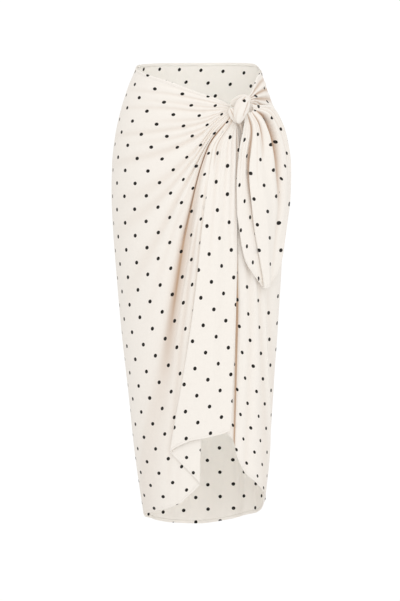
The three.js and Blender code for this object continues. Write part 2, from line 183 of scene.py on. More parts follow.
@dataclass(frozen=True)
class WornForm:
    """The worn shape that the cloth follows, as widths and depths by height."""

    table: np.ndarray = field(default_factory=lambda: FORM)

    def read(self, z: np.ndarray, column: int) -> np.ndarray:
        """One column of the table at a height."""
        return smooth(self.table[:, 0], self.table[:, column], z)

    def half(self, z: np.ndarray) -> np.ndarray:
        """Half the width at a height."""
        return (self.read(z, 2) - self.read(z, 1)) / 2

    def middle(self, z: np.ndarray) -> np.ndarray:
        """The middle of the width at a height."""
        return (self.read(z, 2) + self.read(z, 1)) / 2

    def point(self, turn: np.ndarray, z: np.ndarray, lift: np.ndarray) -> np.ndarray:
        """Points of the form at an angle round the waist and a height, moved out by lift.

        Args:
            turn: Angles round the waist in radians, 0 at the left seam and a quarter turn at the front.
            z: Heights.
            lift: How far out of the form each point stands.

        Returns:
            The points, with x, y and z along the last axis.
        """
        half, depth = self.half(z), np.where(np.sin(turn) >= 0, self.read(z, 3), self.read(z, 4))
        c, s = np.cos(turn), np.sin(turn)
        out = np.stack([-c / half, -s / depth, np.zeros_like(c)], -1)
        out /= np.linalg.norm(out, axis=-1, keepdims=True)
        place = np.stack([self.middle(z) - half * c, -depth * s, z + 0 * c], -1)
        return place + out * np.asarray(lift)[..., None]

    def turn_of(self, x: float, z: float, lift: float) -> float:
        """The angle round the waist of a place seen from the front, for cloth that stands off by lift.

        Args:
            x: Place across, or plus or minus SIDE for a side seam.
            z: Height.
            lift: How far the cloth stands off the form there.

        Returns:
            The angle in radians.
        """
        if x == SIDE:
            return math.radians(RIGHT_SEAM) - SEAM_GAP / 2 / float(self.read(np.array(z), 4))
        if x == -SIDE:
            return math.radians(LEFT_SEAM) + SEAM_GAP / 2 / float(self.read(np.array(z), 3))
        left, right = float(self.read(np.array(z), 1)), float(self.read(np.array(z), 2))
        share = (x - left + lift) / (right - left + 2 * lift)
        return math.acos(1 - 2 * min(1.0, max(0.0, share)))

    @staticmethod
    def nearness(depth: np.ndarray) -> np.ndarray:
        """How much smaller a place has to be drawn at a depth to be seen at the same spot."""
        return (EYE["distance"] + depth - EYE["plane"]) / EYE["distance"]

    def seen_height(self, turn: np.ndarray, z: np.ndarray) -> np.ndarray:
        """The height at which a place of the form is seen, in the plane of the tables."""
        depth = -np.sin(turn) * np.where(np.sin(turn) >= 0, self.read(z, 3), self.read(z, 4))
        return EYE["z"] + (z - EYE["z"]) / self.nearness(depth)

    def hold(self, x: float, z: float, lift: float) -> tuple[float, float]:
        """The angle and height of cloth that stands off by lift and is seen from the front at x and z.

        Args:
            x: Place across, or plus or minus SIDE for a side seam.
            z: Height.
            lift: How far the cloth stands off the form there.

        Returns:
            The angle in radians and the true height.
        """
        turn, height = self.turn_of(x, z, lift), z
        if abs(x) == SIDE:
            return turn, z
        aim = x
        for _ in range(4):
            place = self.form_point(turn, height, lift)
            near = min(1.0, float(self.nearness(place[1])))
            height = EYE["z"] + (z - EYE["z"]) * near
            aim += EYE["x"] + (x - EYE["x"]) * near - place[0]
            turn = self.turn_of(aim, height, lift)
        return turn, height

    def form_point(self, turn: float, z: float, lift: float) -> np.ndarray:
        """One point of the form."""
        return self.point(np.array(turn), np.array(float(z)), np.array(float(lift)))

    def reach(self, turn: np.ndarray, z: np.ndarray) -> np.ndarray:
        """Millimetres of cloth for each radian round the form."""
        return np.hypot(self.half(z) * np.sin(turn), self.read(z, 3) * np.cos(turn))

    def girth(self, turn: np.ndarray, z: np.ndarray, side: Side) -> np.ndarray:
        """Millimetres round the form from the left seam to an angle.

        Args:
            turn: Angles in radians.
            z: Heights.
            side: Whether the way goes over the front or over the back.

        Returns:
            The length of the way, in millimetres.
        """
        if side is Side.BACK:
            turn = 2 * math.pi - turn
        half, depth = self.half(z), self.read(z, 3 if side is Side.FRONT else 4)
        total = np.zeros_like(turn)
        parts = 48
        for k in range(parts):
            q = turn * (k + 0.5) / parts
            total += np.hypot(half * np.sin(q), depth * np.cos(q)) * turn / parts
        return total


@dataclass(frozen=True)
class PrintPlan:
    """How the rows of dots run over a panel: a low-order formula of the place on the worn form.

    Past its limit across, the rows run straight on by so many steps for each 100 mm.
    """

    middle: tuple[float, float]
    first: tuple[float, ...]
    second: tuple[float, ...]
    limit: float = 9.0
    straight: tuple[float, float] = (0.0, 0.0)

    def rows(self, girth: np.ndarray, z: np.ndarray) -> np.ndarray:
        """Places in the print, in steps from dot to dot.

        Args:
            girth: Millimetres round the form from the left seam.
            z: Heights.

        Returns:
            Two numbers for each place; a dot sits where both are whole.
        """
        s, t = (girth - self.middle[0]) / 100, (z - self.middle[1]) / 100
        held = np.minimum(s, self.limit)
        return self.formula(held, t) + np.array(self.straight) * (s - held)[..., None]

    def formula(self, s: np.ndarray, t: np.ndarray) -> np.ndarray:
        """The two numbers of the print.

        Args:
            s: Steps of 100 mm across from the plan's middle.
            t: Steps of 100 mm up from it.

        Returns:
            Two numbers for each place.
        """
        order = {3: 1, 6: 2, 10: 3}[len(self.first)]
        terms = [s ** i * t ** (n - i) for n in range(order + 1) for i in range(n, -1, -1)]
        rows = (self.first, self.second)
        return np.stack([sum(factor * term for factor, term in zip(row, terms)) for row in rows], -1)


PLAN_LEFT = PrintPlan(
    (150, -400),
    (-0.449, 2.697, -2.026, 0.715, -0.287, -0.048, 0.276, -0.127, -0.036, -0.006),
    (2.003, 1.586, 1.849, -0.056, 0.113, 0.014, 0.084, 0.043, 0.004, 0.009),
)
PLAN_MIDDLE = PrintPlan((150, -800), (-0.138, 2.756, 0.925), (0.367, 1.342, -2.839))
PLAN_TOP = PrintPlan(
    (240, -450),
    (0.354, 2.578, -1.852, -0.051, 0.008, 0.036),
    (-0.187, 1.873, 1.793, -0.115, 0.089, -0.001),
)
PLAN_UNDER = PrintPlan(
    (380, -600),
    (3.349, 1.749, -1.948, -0.267, -0.004, 0.001),
    (-0.686, 1.043, 1.970, -0.854, 0.012, -0.079),
    limit=0.2,
    straight=(2.03, 2.01),
)
PLAN_TAIL = PrintPlan(
    (380, -280),
    (1.244, 1.919, -1.569, -0.326, 0.272, 0.161),
    (-0.318, 1.190, 2.075, -1.024, -0.231, 0.127),
)
PLAN_TAIL_STRIP = PrintPlan((300, -380), (0.986, 2.911, -2.222), (-0.604, 3.607, 1.103))
PLAN_TAIL_SIDE = PrintPlan((420, -150), (2.407, 2.923, -0.488), (0.482, 2.582, 3.486))
PLAN_HIP = PrintPlan((400, -60), (-0.213, -1.198, -4.133), (2.566, 2.880, 1.161))
PLAN_BACK = PrintPlan(
    (250, -450),
    (-7.312, 1.936, -2.043, -0.134, -0.002, 0.036),
    (7.813, 2.019, 2.085, -0.064, 0.037, 0.034),
)


def crease_shape(off: np.ndarray) -> tuple[np.ndarray, np.ndarray]:
    """The profile across a crease.

    Args:
        off: Places across it, in halves of its width from its middle.

    Returns:
        A narrow valley and the two soft shoulders beside it, each up to 1.
    """
    valley = np.exp(-VALLEY * off * off)
    return valley, np.exp(-SHOULDER["narrow"] * (np.abs(off) - SHOULDER["off"]) ** 2)


@dataclass(frozen=True)
class Crease:
    """A crease that runs out from the knot.

    It has a place on the fan, half a width and a depth, or a height where that is negative. It runs from
    start to reach along the rays and drifts across them. Steep limits how steep its sides get, shoulder is
    the height of the two soft ridges beside it as a share of its depth, lean makes one side steeper than
    the other, and painted shade says how much tan shade is painted into the colour deep inside it.
    """

    at: float
    width: float
    depth: float
    reach: float
    start: float = 0.0
    drift: float = 0.0
    steep: float = 0.6
    # how much tan shade is painted into the colour deep in the crease
    painted_shade: float = 0.0
    shoulder: float = 0.34
    lean: float = 0.0

    def relief(self, at: np.ndarray, share: np.ndarray, spread: np.ndarray) -> tuple[np.ndarray, np.ndarray]:
        """How far the cloth is pushed out, or in where it is negative, and how much tan shade is painted into
        its colour.

        Args:
            at: Places across the fan.
            share: Shares of the way along the rays.
            spread: Millimetres that the whole fan would be wide as it lies there.

        Returns:
            The relief in millimetres, a narrow valley between two soft shoulders, and the painted shade from
            0 to 1.
        """
        half = np.maximum(self.width, LEAST_FOLD / spread)
        q = (at - self.at - self.drift * share) / half
        q = q * (1 + self.lean * np.tanh(3 * q))
        valley, shoulders = crease_shape(q)
        most = np.minimum(self.steep * half * spread, (half * spread) ** 2 / (2 * VALLEY * LEAST_BEND))
        fade = (1 - ease((share - self.start) / max(0.01, self.reach - self.start)))
        if self.start > 0:
            fade = fade * ease((share - self.start + 0.05) / 0.09)
        deep = np.minimum(self.depth, most)
        # The second value is painted shade: a tan tint strongest deep in the valley.
        return deep * (self.shoulder * shoulders - valley) * fade, self.painted_shade * valley ** 1.7 * np.sqrt(fade)


@dataclass(frozen=True)
class Gather:
    """How a gathered panel starts: round which middle, how far from it, how far out, and how far at least."""

    x: float
    z: float
    radius: float
    out: float
    least: float


@dataclass(frozen=True)
class Pleat:
    """A pleat folded flat, by its share of the fan and how far it lies over and under its line.

    Opening is the power by which it opens towards the hem, and close is how much of it closes again in the
    lower half. The cloth beyond it lies on top as far as clear, and comes down to the form within settle.
    """

    start: float
    end: float
    over: float
    under: float
    opening: float
    close: float
    clear: float
    settle: float

    def place(self, share: np.ndarray, grown: np.ndarray, radius: np.ndarray) -> tuple[np.ndarray, ...]:
        """Where the cloth of the pleat lies.

        Args:
            share: Shares of the pleat's columns.
            grown: How open the pleat is, from 0 to 1.
            radius: Radius of its two turns.

        Returns:
            The place sideways, the place outwards, and the share of the pleat's cloth used up.
        """
        marks = np.array(PLEAT_MARKS)
        under, over = self.under * grown, self.over * grown
        bend = np.pi * radius
        legs = np.stack([under, bend, under + over, bend, over])
        leg = np.clip(np.searchsorted(marks, share, side="left") - 1, 0, 4)
        t = (share - marks[leg]) / (marks[leg + 1] - marks[leg])
        sides = np.stack([
            under * t,
            under + radius * np.sin(np.pi * t),
            mix(under, -over, t),
            -over - radius * np.sin(np.pi * t),
            mix(-over, 0, t),
        ])
        lifts = np.stack([
            0 * t,
            radius * (1 - np.cos(np.pi * t)),
            2 * radius + 0 * t,
            radius * (3 - np.cos(np.pi * t)),
            4 * radius + 0 * t,
        ])
        before = np.cumsum(legs, axis=0) - legs
        pick = leg[None]
        side = np.take_along_axis(sides, pick, axis=0)[0]
        lift = np.take_along_axis(lifts, pick, axis=0)[0]
        used = np.take_along_axis(before, pick, axis=0)[0] + t * np.take_along_axis(legs, pick, axis=0)[0]
        return side, lift, used / legs.sum(axis=0)


# Rays of each fan: at, root angle, first, near, far and edge point as x and z, out, ridge, columns.
OVER_RAYS = (
    (0, 160, (46, -74), (8, -60), (-62, -34), (-SIDE, -2), 0, 3, 7),
    (0.07, 168, (42, -80), (4, -71), (-66, -58), (-SIDE, -46), 0, 6, 7),
    (0.14, 176, (40, -91), (2, -92), (-70, -85), (-SIDE, -82), 0, 6, 7),
    (0.21, 184, (39, -102), (1, -117), (-74, -127), (-SIDE, -134), 0, 6, 7),
    (0.28, 192, (37, -111), (-2, -140), (-78, -168), (-SIDE, -192), 0, 6, 6),
    (0.35, 199, (34, -121), (-8, -174), (-84, -236), (-SIDE, -286), 0, 6, 5),
    (0.42, 205, (30, -137), (-17, -214), (-96, -330), (-SIDE, -450), 0, 6, 4),
    (0.48, 211, (24, -152), (-25, -262), (-98, -450), (-SIDE, -660), 0, 6, 9),
    (0.53, 216, (20, -166), (-24, -322), (-76, -570), (-SIDE, -903), 0, 6, 12),
    (0.58, 221, (21, -174), (-7, -322), (-46, -575), (-72, -891), 5, 6, 12),
    (0.611, 226, (27, -176), (15, -310), (2, -560), (-28, -871), 4, 5, 14),
    (0.806, 230, (31, -172), (17, -298), (2, -505), (-22, -757), 3, 5, 5),
    (0.87, 236, (50, -168), (38, -294), (28, -500), (14, -748), 5, 5, 5),
    (0.95, 242, (68, -164), (64, -288), (59, -492), (50, -739), 6, 3, 2),
    (0.985, 246, (77, -163), (74, -287), (71, -487), (62.5, -733), 6.4, 1.5, 2),
    (1, 248, (81, -163), (78, -286), (75, -484), (66.5, -720), 6.5, 0, 0),
)
UNDER_RAYS = (
    (0, 75, (103, -60), (110, -44), (117, -25), (SIDE, -7), 0, 1, 4),
    (0.1, 52, (108, -66), (120, -58), (134, -50), (SIDE, -48), 0, 2, 4),
    (0.2, 30, (112, -74), (127, -82), (146, -88), (SIDE, -104), 0, 2, 4),
    (0.3, 8, (113, -84), (131, -118), (154, -146), (SIDE, -190), 0, 2, 4),
    (0.4, -18, (112, -98), (132, -172), (158, -250), (SIDE, -340), 0, 1, 3),
    (0.5, -40, (110, -120), (130, -260), (150, -430), (SIDE, -600), 0, 0, 3),
    (0.6, -60, (106, -140), (124, -330), (138, -600), (SIDE, -879), 0, 0, 4),
    (0.7, -80, (99, -142), (112, -330), (122, -590), (118, -840), 3, 0, 3),
    (0.8, -100, (90, -140), (99, -325), (104, -570), (94, -818), 2, 0, 3),
    (0.9, -120, (78, -136), (79, -315), (84, -540), (77, -785), 1.5, 0, 3),
    (0.95, -131, (71, -133), (68, -307), (72, -525), (71, -755), 1.2, 0, 3),
    (1, -142, (64, -130), (57, -300), (60, -510), (57, -739), 1, 0, 0),
)
TAIL_RAYS = (
    (0, 215, (91, -118), (81, -176), (76, -240), (77, -302), 11, 2, 4),
    (0.12, 228, (98, -123), (89, -192), (86, -280), (93, -392), 12, 4, 6),
    (0.24, 242, (106, -124), (102, -202), (112, -306), (127, -443), 11, 6, 12),
    (0.5, 256, (109, -124), (105, -202), (114, -310), (132, -448), 9, 7, 4),
    (0.62, 280, (114, -124), (122, -204), (132, -316), (137, -445), 10, 8, 6),
    (0.75, 310, (122, -117), (142, -192), (154, -306), (149, -432), 11, 8, 6),
    (0.88, 345, (131, -102), (160, -160), (173, -276), (163, -408), 13, 7, 5),
    (1, 400, (140, -83), (171, -132), (184, -232), (170, -374), 14, 3, 0),
)

# Creases: at, width, depth, reach, start and drift.
OVER_CREASES = (
    Crease(0.028, 0.011, 2.0, 0.80, 0.02, painted_shade=0.12),
    Crease(0.052, 0.009, 1.4, 0.50, 0.06),
    Crease(0.072, 0.018, 3.8, 0.98, painted_shade=0.24, steep=0.5),
    Crease(0.098, 0.010, 2.0, 0.60, 0.05, 0.012, painted_shade=0.1),
    Crease(0.120, 0.016, 3.8, 0.82, 0.0, -0.006, painted_shade=0.24),
    Crease(0.146, 0.016, 4.0, 1.01, 0.04, painted_shade=0.24),
    Crease(0.168, 0.010, 2.0, 0.55, 0.06, 0.01),
    Crease(0.190, 0.017, 4.0, 0.74, painted_shade=0.24),
    Crease(0.216, 0.018, 4.4, 1.09, 0.05, 0.008, painted_shade=0.24),
    Crease(0.240, 0.010, 2.2, 0.50, 0.08),
    Crease(0.262, 0.018, 5.0, 0.82, 0.0, -0.01, painted_shade=0.24),
    Crease(0.292, 0.019, 5.1, 1.05, 0.05, painted_shade=0.24),
    Crease(0.322, 0.012, 2.4, 0.60, 0.08),
    Crease(0.348, 0.024, 5.6, 0.90, 0.0, 0.01, painted_shade=0.24),
    Crease(0.386, 0.022, 5.4, 0.94, 0.06, painted_shade=0.24),
    Crease(0.418, 0.014, 2.6, 0.55, 0.10),
    Crease(0.446, 0.026, 6.3, 0.86, 0.04, painted_shade=0.24),
    Crease(0.484, 0.016, 3.4, 0.70, 0.10, 0.012, painted_shade=0.12),
    Crease(0.080, 0.050, -3.2, 0.46, 0.09, 1.05, lean=-0.5),
    Crease(0.505, 0.040, 10.0, 0.68, 0.03, 0.08, painted_shade=1.0, shoulder=0.1),
    Crease(0.524, 0.009, 8.0, 0.56, 0.02, 0.06, steep=1.5, painted_shade=1.0, shoulder=0.1, lean=0.3),
    Crease(0.554, 0.034, 9.0, 0.80, 0.12, 0.016, steep=0.7, painted_shade=0.30, shoulder=0.2),
    Crease(0.560, 0.055, 7.0, 1.50, 0.34, -0.01, steep=0.5, painted_shade=0.17),
    Crease(0.587, 0.006, 3.0, 1.00, 0.30, steep=0.8, painted_shade=0.22, shoulder=0.4),
    Crease(0.597, 0.006, 2.0, 1.10, 0.20, painted_shade=0.1),
    Crease(0.822, 0.012, 5.0, 0.17, 0.0, 0.02, steep=1.2, painted_shade=0.9),
    Crease(0.845, 0.016, 4.0, 0.50, 0.05, painted_shade=0.12),
    Crease(0.874, 0.012, 2.4, 0.30, 0.08),
    Crease(0.905, 0.016, 3.2, 0.42, painted_shade=0.12),
    Crease(0.950, 0.016, 3.4, 0.55, 0.02, painted_shade=0.12),
    Crease(0.984, 0.012, 3.0, 0.42, 0.02, painted_shade=0.8),
)
UNDER_CREASES = (
    Crease(0.040, 0.022, 4.0, 1.3, painted_shade=0.8, steep=1.0),
    Crease(0.095, 0.026, 6.0, 1.6, 0.0, 0.01, painted_shade=0.9, steep=1.0),
    Crease(0.155, 0.026, 5.4, 1.3, painted_shade=0.8, steep=1.0),
    Crease(0.212, 0.024, 4.4, 1.2, 0.05, painted_shade=0.55),
    Crease(0.272, 0.030, 5.4, 1.0, painted_shade=0.6),
    Crease(0.335, 0.026, 4.0, 0.8, 0.1, painted_shade=0.45),
    Crease(0.395, 0.026, 2.4, 0.7),
    Crease(0.900, 0.014, 5.0, 2.8, 0.08, 0.045, steep=1.2, painted_shade=1.0, shoulder=0.0),
    Crease(0.915, 0.030, 5.0, 3.0, 0.50, 0.030, painted_shade=0.75, shoulder=0.0),
    Crease(0.800, 0.045, 3.0, 2.0, 0.35, painted_shade=0.08),
    Crease(0.680, 0.050, 4.0, 2.0, 0.30, -0.02, painted_shade=0.12),
    Crease(0.560, 0.040, 3.0, 1.9, 0.50, -0.01, painted_shade=0.1),
)
TAIL_CREASES = (
    Crease(0.060, 0.022, 2.2, 0.80, painted_shade=0.15),
    Crease(0.125, 0.020, 2.0, 0.60, 0.05, painted_shade=0.15),
    Crease(0.200, 0.042, 11.0, 0.74, 0.02, 0.03, steep=1.4, painted_shade=1.0, shoulder=0.1, lean=0.3),
    Crease(0.560, 0.018, 2.8, 0.45, 0.03, painted_shade=0.2),
    Crease(0.640, 0.020, 3.4, 0.35, 0.02, painted_shade=0.3),
    Crease(0.735, 0.040, 11.0, 0.27, 0.02, -0.30, steep=1.4, painted_shade=1.0, shoulder=0.2),
    Crease(0.800, 0.016, 2.0, 0.35, 0.10, painted_shade=0.15),
    Crease(0.880, 0.040, 12.0, 0.56, 0.03, -0.17, steep=1.3, painted_shade=1.0, lean=0.35),
    Crease(0.875, 0.055, 6.0, 1.10, 0.12, -0.15, painted_shade=0.25),
    Crease(0.930, 0.020, 3.0, 0.70, 0.0, -0.02, painted_shade=0.2),
    Crease(0.965, 0.018, 3.0, 0.90, 0.06, painted_shade=0.2),
)

OVER_PLEAT = Pleat(0.611, 0.806, 28, 26, 1.6, 0, 0.868, 0.07)
TAIL_PLEAT = Pleat(0.24, 0.5, 9, 12, 0.7, 0.85, 0.6, 0.12)


@dataclass(frozen=True)
class PrintedCloth:
    """Soft plain-weave cloth, cream with round dark dots, with tan shade painted into its folds."""

    name: str = "printed_cloth"
    cream: tuple[float, float, float] = (0.925, 0.885, 0.835)
    # tan colour of the shade painted deep in the folds
    fold: tuple[float, float, float] = (0.52, 0.36, 0.25)
    ink: tuple[float, float, float] = (0.016, 0.014, 0.012)
    roughness: float = 0.82
    sheen: float = 0.12
    sheen_roughness: float = 0.5
    specular: float = 0.22
    uneven: float = 0.965  # how light the cream is where it is darkest
    bleed: float = 0.008  # how ragged a dot's edge is, in steps of the print
    dot_edge: float = 0.004  # half the width of its soft edge
    bleed_noise: tuple[float, ...] = (42.0, 2.0)  # scale, detail, and roughness where it has one
    uneven_noise: tuple[float, ...] = (3.0, 5.0)
    crumple_noise: tuple[float, ...] = (1.4, 4.0, 0.55)
    thread_scale: float = 18.0
    thread_bump: tuple[float, float] = (0.10, 0.00012)  # strength, and depth in metres
    crumple_bump: tuple[float, float] = (0.22, 0.004)

    def build(self) -> bpy.types.Material:
        """Makes the material.

        Returns:
            A material whose dots sit at whole numbers of the Cloth layout.
        """
        material = bpy.data.materials.new(self.name)
        material.use_nodes = True
        tree = material.node_tree
        shader = tree.nodes["Principled BSDF"]
        shader.inputs["Roughness"].default_value = self.roughness
        shader.inputs["Sheen Weight"].default_value = self.sheen
        shader.inputs["Sheen Roughness"].default_value = self.sheen_roughness
        shader.inputs["Specular IOR Level"].default_value = self.specular

        layout = tree.nodes.new("ShaderNodeUVMap")
        layout.uv_map = "Cloth"
        shifted = self.vector(tree, "ADD", layout.outputs["UV"], (0.5, 0.5, 0.0))
        within = self.vector(tree, "FRACTION", shifted, None)
        centred = self.vector(tree, "SUBTRACT", within, (0.5, 0.5, 0.0))
        distance = tree.nodes.new("ShaderNodeVectorMath")
        distance.operation = "LENGTH"
        tree.links.new(centred, distance.inputs[0])

        bleed = self.noise(tree, layout, *self.bleed_noise)
        ragged = tree.nodes.new("ShaderNodeMath")
        ragged.operation = "MULTIPLY_ADD"
        ragged.inputs[1].default_value = self.bleed
        tree.links.new(bleed, ragged.inputs[0])
        tree.links.new(distance.outputs["Value"], ragged.inputs[2])
        dot = tree.nodes.new("ShaderNodeMapRange")
        dot.interpolation_type = "SMOOTHSTEP"
        radius = DOT_RADIUS / PRINT_PITCH + self.bleed / 2
        dot.inputs["From Min"].default_value = radius + self.dot_edge
        dot.inputs["From Max"].default_value = radius - self.dot_edge
        tree.links.new(ragged.outputs[0], dot.inputs["Value"])

        # Painted shade: the fold attribute blends the cream towards the tan fold colour in the creases.
        shade = tree.nodes.new("ShaderNodeAttribute")
        shade.attribute_name = "fold"
        tone = tree.nodes.new("ShaderNodeMapRange")
        tone.inputs["From Min"].default_value = 0.3
        tone.inputs["From Max"].default_value = 0.7
        tone.inputs["To Min"].default_value = 0.0
        tone.inputs["To Max"].default_value = 0.35
        tree.links.new(self.noise(tree, layout, *self.uneven_noise), tone.inputs["Value"])
        darker = tuple(c * self.uneven for c in self.cream)
        cream = self.blend(tree, self.cream, darker, tone.outputs["Result"])
        painted_tan_shade = self.blend(tree, cream, self.fold, shade.outputs["Fac"])
        colour = self.blend(tree, painted_tan_shade, self.ink, dot.outputs["Result"])
        tree.links.new(colour, shader.inputs["Base Color"])

        self.weave(tree, layout, shader)
        return material

    @staticmethod
    def vector(
        tree: bpy.types.NodeTree,
        operation: str,
        source: bpy.types.NodeSocket,
        value: tuple[float, float, float] | None,
    ) -> bpy.types.NodeSocket:
        """Adds a vector step.

        Args:
            tree: The material's nodes.
            operation: The step's operation.
            source: What it works on.
            value: Its second value, if it takes one.

        Returns:
            The step's output.
        """
        node = tree.nodes.new("ShaderNodeVectorMath")
        node.operation = operation
        tree.links.new(source, node.inputs[0])
        if value is not None:
            node.inputs[1].default_value = value
        return node.outputs["Vector"]

    @staticmethod
    def blend(
        tree: bpy.types.NodeTree,
        start: object,
        end: object,
        factor: bpy.types.NodeSocket,
    ) -> bpy.types.NodeSocket:
        """Adds a blend of two colours.

        Args:
            tree: The material's nodes.
            start: Colour, or a node's output, at factor 0.
            end: Colour, or a node's output, at factor 1.
            factor: What drives the blend.

        Returns:
            The blended colour.
        """
        node = tree.nodes.new("ShaderNodeMix")
        node.data_type = "RGBA"
        tree.links.new(factor, node.inputs["Factor"])
        for name, value in (("A", start), ("B", end)):
            socket = [s for s in node.inputs if s.name == name and s.type == "RGBA"][0]
            if isinstance(value, tuple):
                socket.default_value = (*value, 1.0)
            else:
                tree.links.new(value, socket)
        return [s for s in node.outputs if s.type == "RGBA"][0]

    @staticmethod
    def noise(
        tree: bpy.types.NodeTree,
        layout: bpy.types.Node,
        scale: float,
        detail: float,
        roughness: float = 0.5,
    ) -> bpy.types.NodeSocket:
        """Adds a noise that follows the print.

        Args:
            tree: The material's nodes.
            layout: The node with the Cloth layout.
            scale: How fine the noise is.
            detail: How many finer layers it has.
            roughness: How strong those layers are.

        Returns:
            The noise, from 0 to 1.
        """
        node = tree.nodes.new("ShaderNodeTexNoise")
        node.inputs["Scale"].default_value = scale
        node.inputs["Detail"].default_value = detail
        node.inputs["Roughness"].default_value = roughness
        tree.links.new(layout.outputs["UV"], node.inputs["Vector"])
        return node.outputs["Fac"]

    @staticmethod
    def bump(
        tree: bpy.types.NodeTree,
        height: bpy.types.NodeSocket,
        size: tuple[float, float],
    ) -> bpy.types.Node:
        """Adds a bump.

        Args:
            tree: The material's nodes.
            height: What drives it.
            size: Its strength, and its depth in metres.

        Returns:
            The bump's node.
        """
        node = tree.nodes.new("ShaderNodeBump")
        node.inputs["Strength"].default_value, node.inputs["Distance"].default_value = size
        tree.links.new(height, node.inputs["Height"])
        return node

    def weave(self, tree: bpy.types.NodeTree, layout: bpy.types.Node, shader: bpy.types.Node) -> None:
        """Adds the bump of crossing threads and a soft crumple.

        Args:
            tree: The material's nodes.
            layout: The node with the Cloth layout.
            shader: The material's shader.
        """
        turned = tree.nodes.new("ShaderNodeMapping")
        turned.inputs["Rotation"].default_value = (0, 0, math.radians(45))
        tree.links.new(layout.outputs["UV"], turned.inputs["Vector"])
        heights = []
        for direction in ("X", "Y"):
            thread = tree.nodes.new("ShaderNodeTexWave")
            thread.bands_direction = direction
            thread.inputs["Scale"].default_value = self.thread_scale
            thread.inputs["Distortion"].default_value = 0.6
            thread.inputs["Detail"].default_value = 1.0
            tree.links.new(turned.outputs["Vector"], thread.inputs["Vector"])
            heights.append(thread.outputs["Fac"])
        crossing = tree.nodes.new("ShaderNodeMath")
        crossing.operation = "MULTIPLY"
        tree.links.new(heights[0], crossing.inputs[0])
        tree.links.new(heights[1], crossing.inputs[1])
        threads = self.bump(tree, crossing.outputs[0], self.thread_bump)
        soft = self.bump(tree, self.noise(tree, layout, *self.crumple_noise), self.crumple_bump)
        tree.links.new(threads.outputs["Normal"], soft.inputs["Normal"])
        tree.links.new(soft.outputs["Normal"], shader.inputs["Normal"])


@dataclass(frozen=True)
class SewingThread:
    """Cream sewing thread of the hems."""

    name: str = "sewing_thread"
    colour: tuple[float, float, float] = (0.86, 0.81, 0.74)
    roughness: float = 0.6
    twist: float = 900.0  # how fine its shading is
    worn: float = 0.85  # how light it is where it is darkest

    def build(self) -> bpy.types.Material:
        """Makes the material.

        Returns:
            A twisted thread's material.
        """
        material = bpy.data.materials.new(self.name)
        material.use_nodes = True
        tree = material.node_tree
        shader = tree.nodes["Principled BSDF"]
        shader.inputs["Roughness"].default_value = self.roughness
        noise = tree.nodes.new("ShaderNodeTexNoise")
        noise.inputs["Scale"].default_value = self.twist
        place = tree.nodes.new("ShaderNodeTexCoord")
        tree.links.new(place.outputs["Object"], noise.inputs["Vector"])
        worn = tuple(c * self.worn for c in self.colour)
        colour = PrintedCloth.blend(tree, self.colour, worn, noise.outputs["Fac"])
        tree.links.new(colour, shader.inputs["Base Color"])
        return material


@dataclass(frozen=True)
class Paper:
    """White studio paper of the floor."""

    name: str = "studio_paper"
    colour: tuple[float, float, float] = (0.9, 0.9, 0.9)
    roughness: float = 0.9

    def build(self) -> bpy.types.Material:
        """Makes the material."""
        material = bpy.data.materials.new(self.name)
        material.use_nodes = True
        shader = material.node_tree.nodes["Principled BSDF"]
        shader.inputs["Base Color"].default_value = (*self.colour, 1.0)
        shader.inputs["Roughness"].default_value = self.roughness
        return material


@dataclass(frozen=True)
class Glow:
    """Even white of the backdrop."""

    name: str = "studio_white"
    strength: float = 1.0

    def build(self) -> bpy.types.Material:
        """Makes the material."""
        material = bpy.data.materials.new(self.name)
        material.use_nodes = True
        shader = material.node_tree.nodes["Principled BSDF"]
        shader.inputs["Base Color"].default_value = (0, 0, 0, 1)
        shader.inputs["Emission Color"].default_value = (1, 1, 1, 1)
        shader.inputs["Emission Strength"].default_value = self.strength
        return material


def grid_faces(wide: int, long: int) -> np.ndarray:
    """Faces of a grid of points.

    Args:
        wide: Points in each row.
        long: Number of rows.

    Returns:
        Four point numbers for each face.
    """
    i, j = np.meshgrid(np.arange(wide - 1), np.arange(long - 1))
    a = (j * wide + i).ravel()
    return np.stack([a, a + 1, a + 1 + wide, a + wide], -1)


def make_mesh(
    name: str,
    points: np.ndarray,
    faces: list | np.ndarray,
    prints: np.ndarray | None = None,
    folds: np.ndarray | None = None,
) -> bpy.types.Object:
    """Makes a smooth mesh object from points in millimetres.

    Args:
        name: The piece's name.
        points: Its points.
        faces: Its faces, as point numbers.
        prints: Place in the print of each point, or of each face's corners, for the Cloth layout.
        folds: How much tan shade is painted into the colour at each point, from 0 to 1.

    Returns:
        The object, linked to the scene.
    """
    mesh = bpy.data.meshes.new(name)
    mesh.from_pydata((points.reshape(-1, 3) * MM).tolist(), [], [list(map(int, f)) for f in faces])
    mesh.polygons.foreach_set("use_smooth", [True] * len(mesh.polygons))
    if prints is not None:
        layer = mesh.uv_layers.new(name="Cloth")
        places = prints.reshape(-1, 2)
        if len(places) != len(mesh.loops):
            corners = np.empty(len(mesh.loops), np.int32)
            mesh.loops.foreach_get("vertex_index", corners)
            places = places[corners]
        layer.data.foreach_set("uv", places.astype(np.float32).ravel())
    # The fold attribute holds how much shade is painted into the colour.
    shade = mesh.attributes.new("fold", "FLOAT", "POINT")
    values = np.zeros(len(mesh.vertices)) if folds is None else folds.ravel()
    shade.data.foreach_set("value", values.astype(np.float32))
    mesh.update()
    piece = bpy.data.objects.new(name, mesh)
    bpy.context.collection.objects.link(piece)
    return piece


def normals_of(points: np.ndarray) -> np.ndarray:
    """Directions square to the cloth.

    Args:
        points: A grid of points, with x, y and z along the last axis.

    Returns:
        A direction of length 1 for each point.
    """
    across = np.gradient(points, axis=1)
    along = np.gradient(points, axis=0)
    normal = np.cross(across, along)
    return normal / np.maximum(1e-9, np.linalg.norm(normal, axis=-1, keepdims=True))


